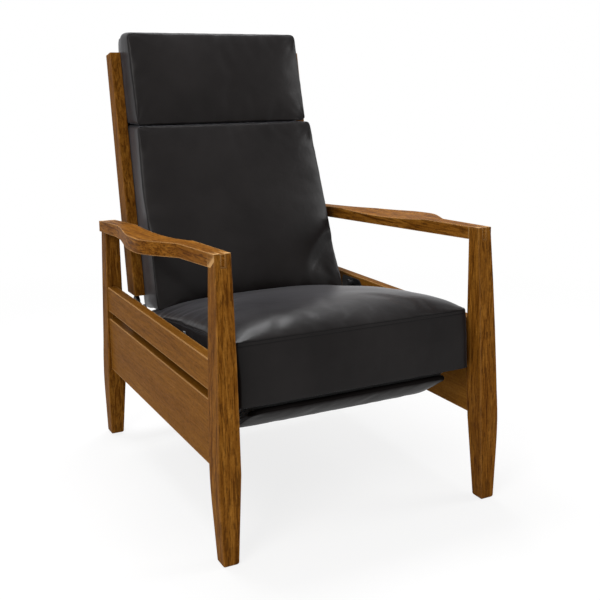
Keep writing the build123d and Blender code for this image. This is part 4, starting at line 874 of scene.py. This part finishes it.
def make_back_cushion():
    half_b = (CUSHION_TOP - CUSHION_BOTTOM) / 2
    middle = (CUSHION_TOP + CUSHION_BOTTOM) / 2
    half_a = CUSHION_HALF_PLACES[0][1]

    def foot(a, y):
        """The cushion's lower side lies on the seat and runs on behind it."""
        lying = seat_top(a, min(y, CUSHION_FOOT_FREE_Y)) + CUSHION_FOOT_GAP
        share = smooth_step(y, CUSHION_FOOT_FREE_Y, CUSHION_FOOT_REAR[0])
        return lying + share * (CUSHION_FOOT_REAR[1] - lying)

    def height(a, b, y=CUSHION_REST_Y):
        lift = foot(a, max(y, CUSHION_REST_Y)) - CUSHION_BOTTOM
        return middle + b + lift * (0.5 - b / half_b / 2) ** 2

    def half_at(z):
        return along_curve(CUSHION_HALF_PLACES, z)

    def front(a, b):
        z = height(a, b)
        crown = drawn_crown(a, b, half_a, half_b, *CUSHION_POWERS) * CUSHION_CROWN * FILL_SHARE
        pucker = gathered(b, half_a - abs(a), CUSHION_SIDE_PUCKER) + gathered(a, half_b - abs(b), CUSHION_END_PUCKER)
        pucker += corner_folds(a, b, half_a, half_b, CUSHION_FOLD)
        return (a * half_at(z) / half_a, along_curve(CUSHION_SEAM_PLACES, z) - crown - pucker + creased(a, z), z)

    def row(out, share):
        def place(a, b):
            out_a, out_b = outward(a, b, half_a, half_b, CUSHION_CORNER)
            z = height(a, b)
            y = along_curve(CUSHION_SEAM_PLACES, z)
            here = y + share * (back_rear(z) - y)
            z = height(a, b, here)
            meet = clamp((here - y) / (stile_front(z) - y), 0.0, 1.0)
            half = half_at(z) + (CUSHION_REAR_HALF - half_at(z)) * meet
            swell = out * (1 - meet)
            return ((a + out_a * swell) * half / half_a, here, z + out_b * min(out, CUSHION_END_OUT))
        return place

    def rear(a, b):
        z = height(a, b, back_rear(CUSHION_BOTTOM))
        return (a * CUSHION_REAR_HALF / half_a, back_rear(z), z)

    rows = boxing(row, (BOXING_FIRST, CUSHION_FIRST_SHARE), *BOXING_BULGE, CUSHION_ROWS)
    form = boxed_form("back_leather", half_a, half_b, CUSHION_CORNER, front, rows, rear)
    return upholster(form, (0, -2), BACK_SLACK, CUSHION_CAP, BACK_SIDE_CAP, BACK_SEAMS)


def make_pillow():
    half_a = PILLOW_HALF
    half_b = (PILLOW_TOP - PILLOW_BOTTOM) / 2
    middle = (PILLOW_TOP + PILLOW_BOTTOM) / 2
    turn_y, turn_z = PILLOW_REAR - PILLOW_REAR_RADIUS, PILLOW_TOP - PILLOW_REAR_RADIUS

    def rounded(x, y, z):
        """Rounds the pillow's upper rear edge."""
        over_y, over_z = y - turn_y, z - turn_z
        if over_y <= 0 or over_z <= 0:
            return (x, y, z)
        reach = max(over_y, over_z)
        angle = math.atan2(over_z, over_y)
        return (x, turn_y + reach * math.cos(angle), turn_z + reach * math.sin(angle))

    def rear_y(z):
        return back_rear(z) + (PILLOW_REAR - back_rear(z)) * smooth_step(z, *PILLOW_STEP)

    def front(a, b):
        z = middle + b
        crown = drawn_crown(a, b, half_a, half_b, *PILLOW_POWERS) * PILLOW_CROWN * FILL_SHARE
        pucker = gathered(b, half_a - abs(a), PILLOW_SIDE_PUCKER) + gathered(a, half_b - abs(b), PILLOW_END_PUCKER)
        pucker += corner_folds(a, b, half_a, half_b, PILLOW_FOLD)
        return (a, along_curve(PILLOW_SEAM_PLACES, z) - crown - pucker, z)

    def row(out, share):
        def place(a, b):
            out_a, out_b = outward(a, b, half_a, half_b, PILLOW_CORNER)
            z = middle + b
            y = along_curve(PILLOW_SEAM_PLACES, z)
            here = y + share * (rear_y(z) - y)
            wide = 1 + (PILLOW_REAR_HALF - half_a) / half_a * clamp(share * PILLOW_WIDEN, 0.0, 1.0)
            most = PILLOW_TOP_OUT if out_b > 0 else PILLOW_BOTTOM_OUT
            return rounded((a + out_a * out * PILLOW_SIDE_OUT) * wide, here, z + out_b * min(out, most))
        return place

    def rear(a, b):
        z = middle + b
        return rounded(a * PILLOW_REAR_HALF / half_a, rear_y(z), z)

    rows = boxing(row, (BOXING_FIRST, PILLOW_FIRST_SHARE), *BOXING_BULGE, PILLOW_ROWS)
    form = boxed_form("pillow_leather", half_a, half_b, PILLOW_CORNER, front, rows, rear)
    return upholster(form, (0, -2), BACK_SLACK, PILLOW_CAP, BACK_SIDE_CAP, BACK_SEAMS)


# Footrest
FOOTREST_HALF = 237.0
FOOTREST_Y = -308.8
FOOTREST_Z = 253.0
FOOTREST_ANGLE = math.radians(33.0)
FOOTREST_LENGTH = 120.0
FOOTREST_THICKNESS = 26.0
FOOTREST_BOARD = 9.0
FOOTREST_BOARD_GAP = 0.5
FOOTREST_SEAM_INSET = 7.0
FOOTREST_CORNER = 25.0
FOOTREST_CROWN = 5.5
FOOTREST_POWERS = (6.0, 2.6)
FOOTREST_PUCKER = 0.6
FOOTREST_SIDE_OUT = 0.8
FOOTREST_ROWS = (0.3, 0.7)
FOOTREST_SLACK, FOOTREST_CAP, FOOTREST_SIDE_CAP = 0.008, 1.5, 0.4
FOOTREST_SEAMS = ((0, 0.9, 1.0),)


def footrest_point(a, along, out):
    """A place counted across, down the footrest's slope and out through its leather."""
    slope, steep = math.cos(FOOTREST_ANGLE), math.sin(FOOTREST_ANGLE)
    return (a, FOOTREST_Y + along * slope - out * steep, FOOTREST_Z - along * steep - out * slope)


def make_footrest_pad():
    half_b = FOOTREST_LENGTH / 2
    near = FOOTREST_BOARD - FOOTREST_THICKNESS / 2 + FOOTREST_BOARD_GAP
    seam = FOOTREST_THICKNESS / 2 - FOOTREST_SEAM_INSET

    def front(a, b):
        crown = drawn_crown(a, b, FOOTREST_HALF, half_b, *FOOTREST_POWERS)
        return footrest_point(a, b, seam + FOOTREST_CROWN * crown + gathered(a, half_b - abs(b), FOOTREST_PUCKER))

    def row(out, share):
        def place(a, b):
            out_a, out_b = outward(a, b, FOOTREST_HALF, half_b, FOOTREST_CORNER)
            return footrest_point(a + out_a * out, b + out_b * out, seam + share * (near - seam))
        return place

    def rear(a, b):
        return footrest_point(a, b, near)

    rows = [row(FOOTREST_SIDE_OUT, share) for share in FOOTREST_ROWS]
    form = boxed_form("footrest_leather", FOOTREST_HALF, half_b, FOOTREST_CORNER, front, rows, rear)
    return upholster(form, (0, -2), FOOTREST_SLACK, FOOTREST_CAP, FOOTREST_SIDE_CAP, FOOTREST_SEAMS)


# Gloss and sheen of the leather, and of its copy for the footrest, dulled as painted shade since it hangs in the
# seat's shade
HIDE_LIGHT = (0.12, 0.11)
FOOTREST_SHADED_HIDE_LIGHT = (0.012, 0.0)
SEAT_FILL, CUSHION_FILL, PILLOW_FILL, FOOTREST_FILL = 0.8, 0.7, 0.8, 0.6


def make_leather():
    hide = leather("leather", *HIDE_LIGHT)
    shaded_footrest_hide = leather("shaded_footrest_hide", *FOOTREST_SHADED_HIDE_LIGHT)
    for piece, body, node, fill in (
            (make_seat(), "seat", "seat_cushion", SEAT_FILL),
            (make_back_cushion(), "back", "back_cushion", CUSHION_FILL),
            (make_pillow(), "back", "head_pillow", PILLOW_FILL),
            (make_footrest_pad(), "footrest", "footrest_pad", FOOTREST_FILL)):
        # The footrest gets the dulled copy of the leather: painted shade
        piece.data.materials.append(shaded_footrest_hide if node == "footrest_pad" else hide)
        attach(piece, body)
        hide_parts(node)
    paint("outer_back_panel", hide)


make_camera()
make_world()
make_floor()
make_lamps()
finish_wood()
finish_metal_and_cloth()
make_leather()
bpy.context.scene.view_settings.view_transform = "Standard"
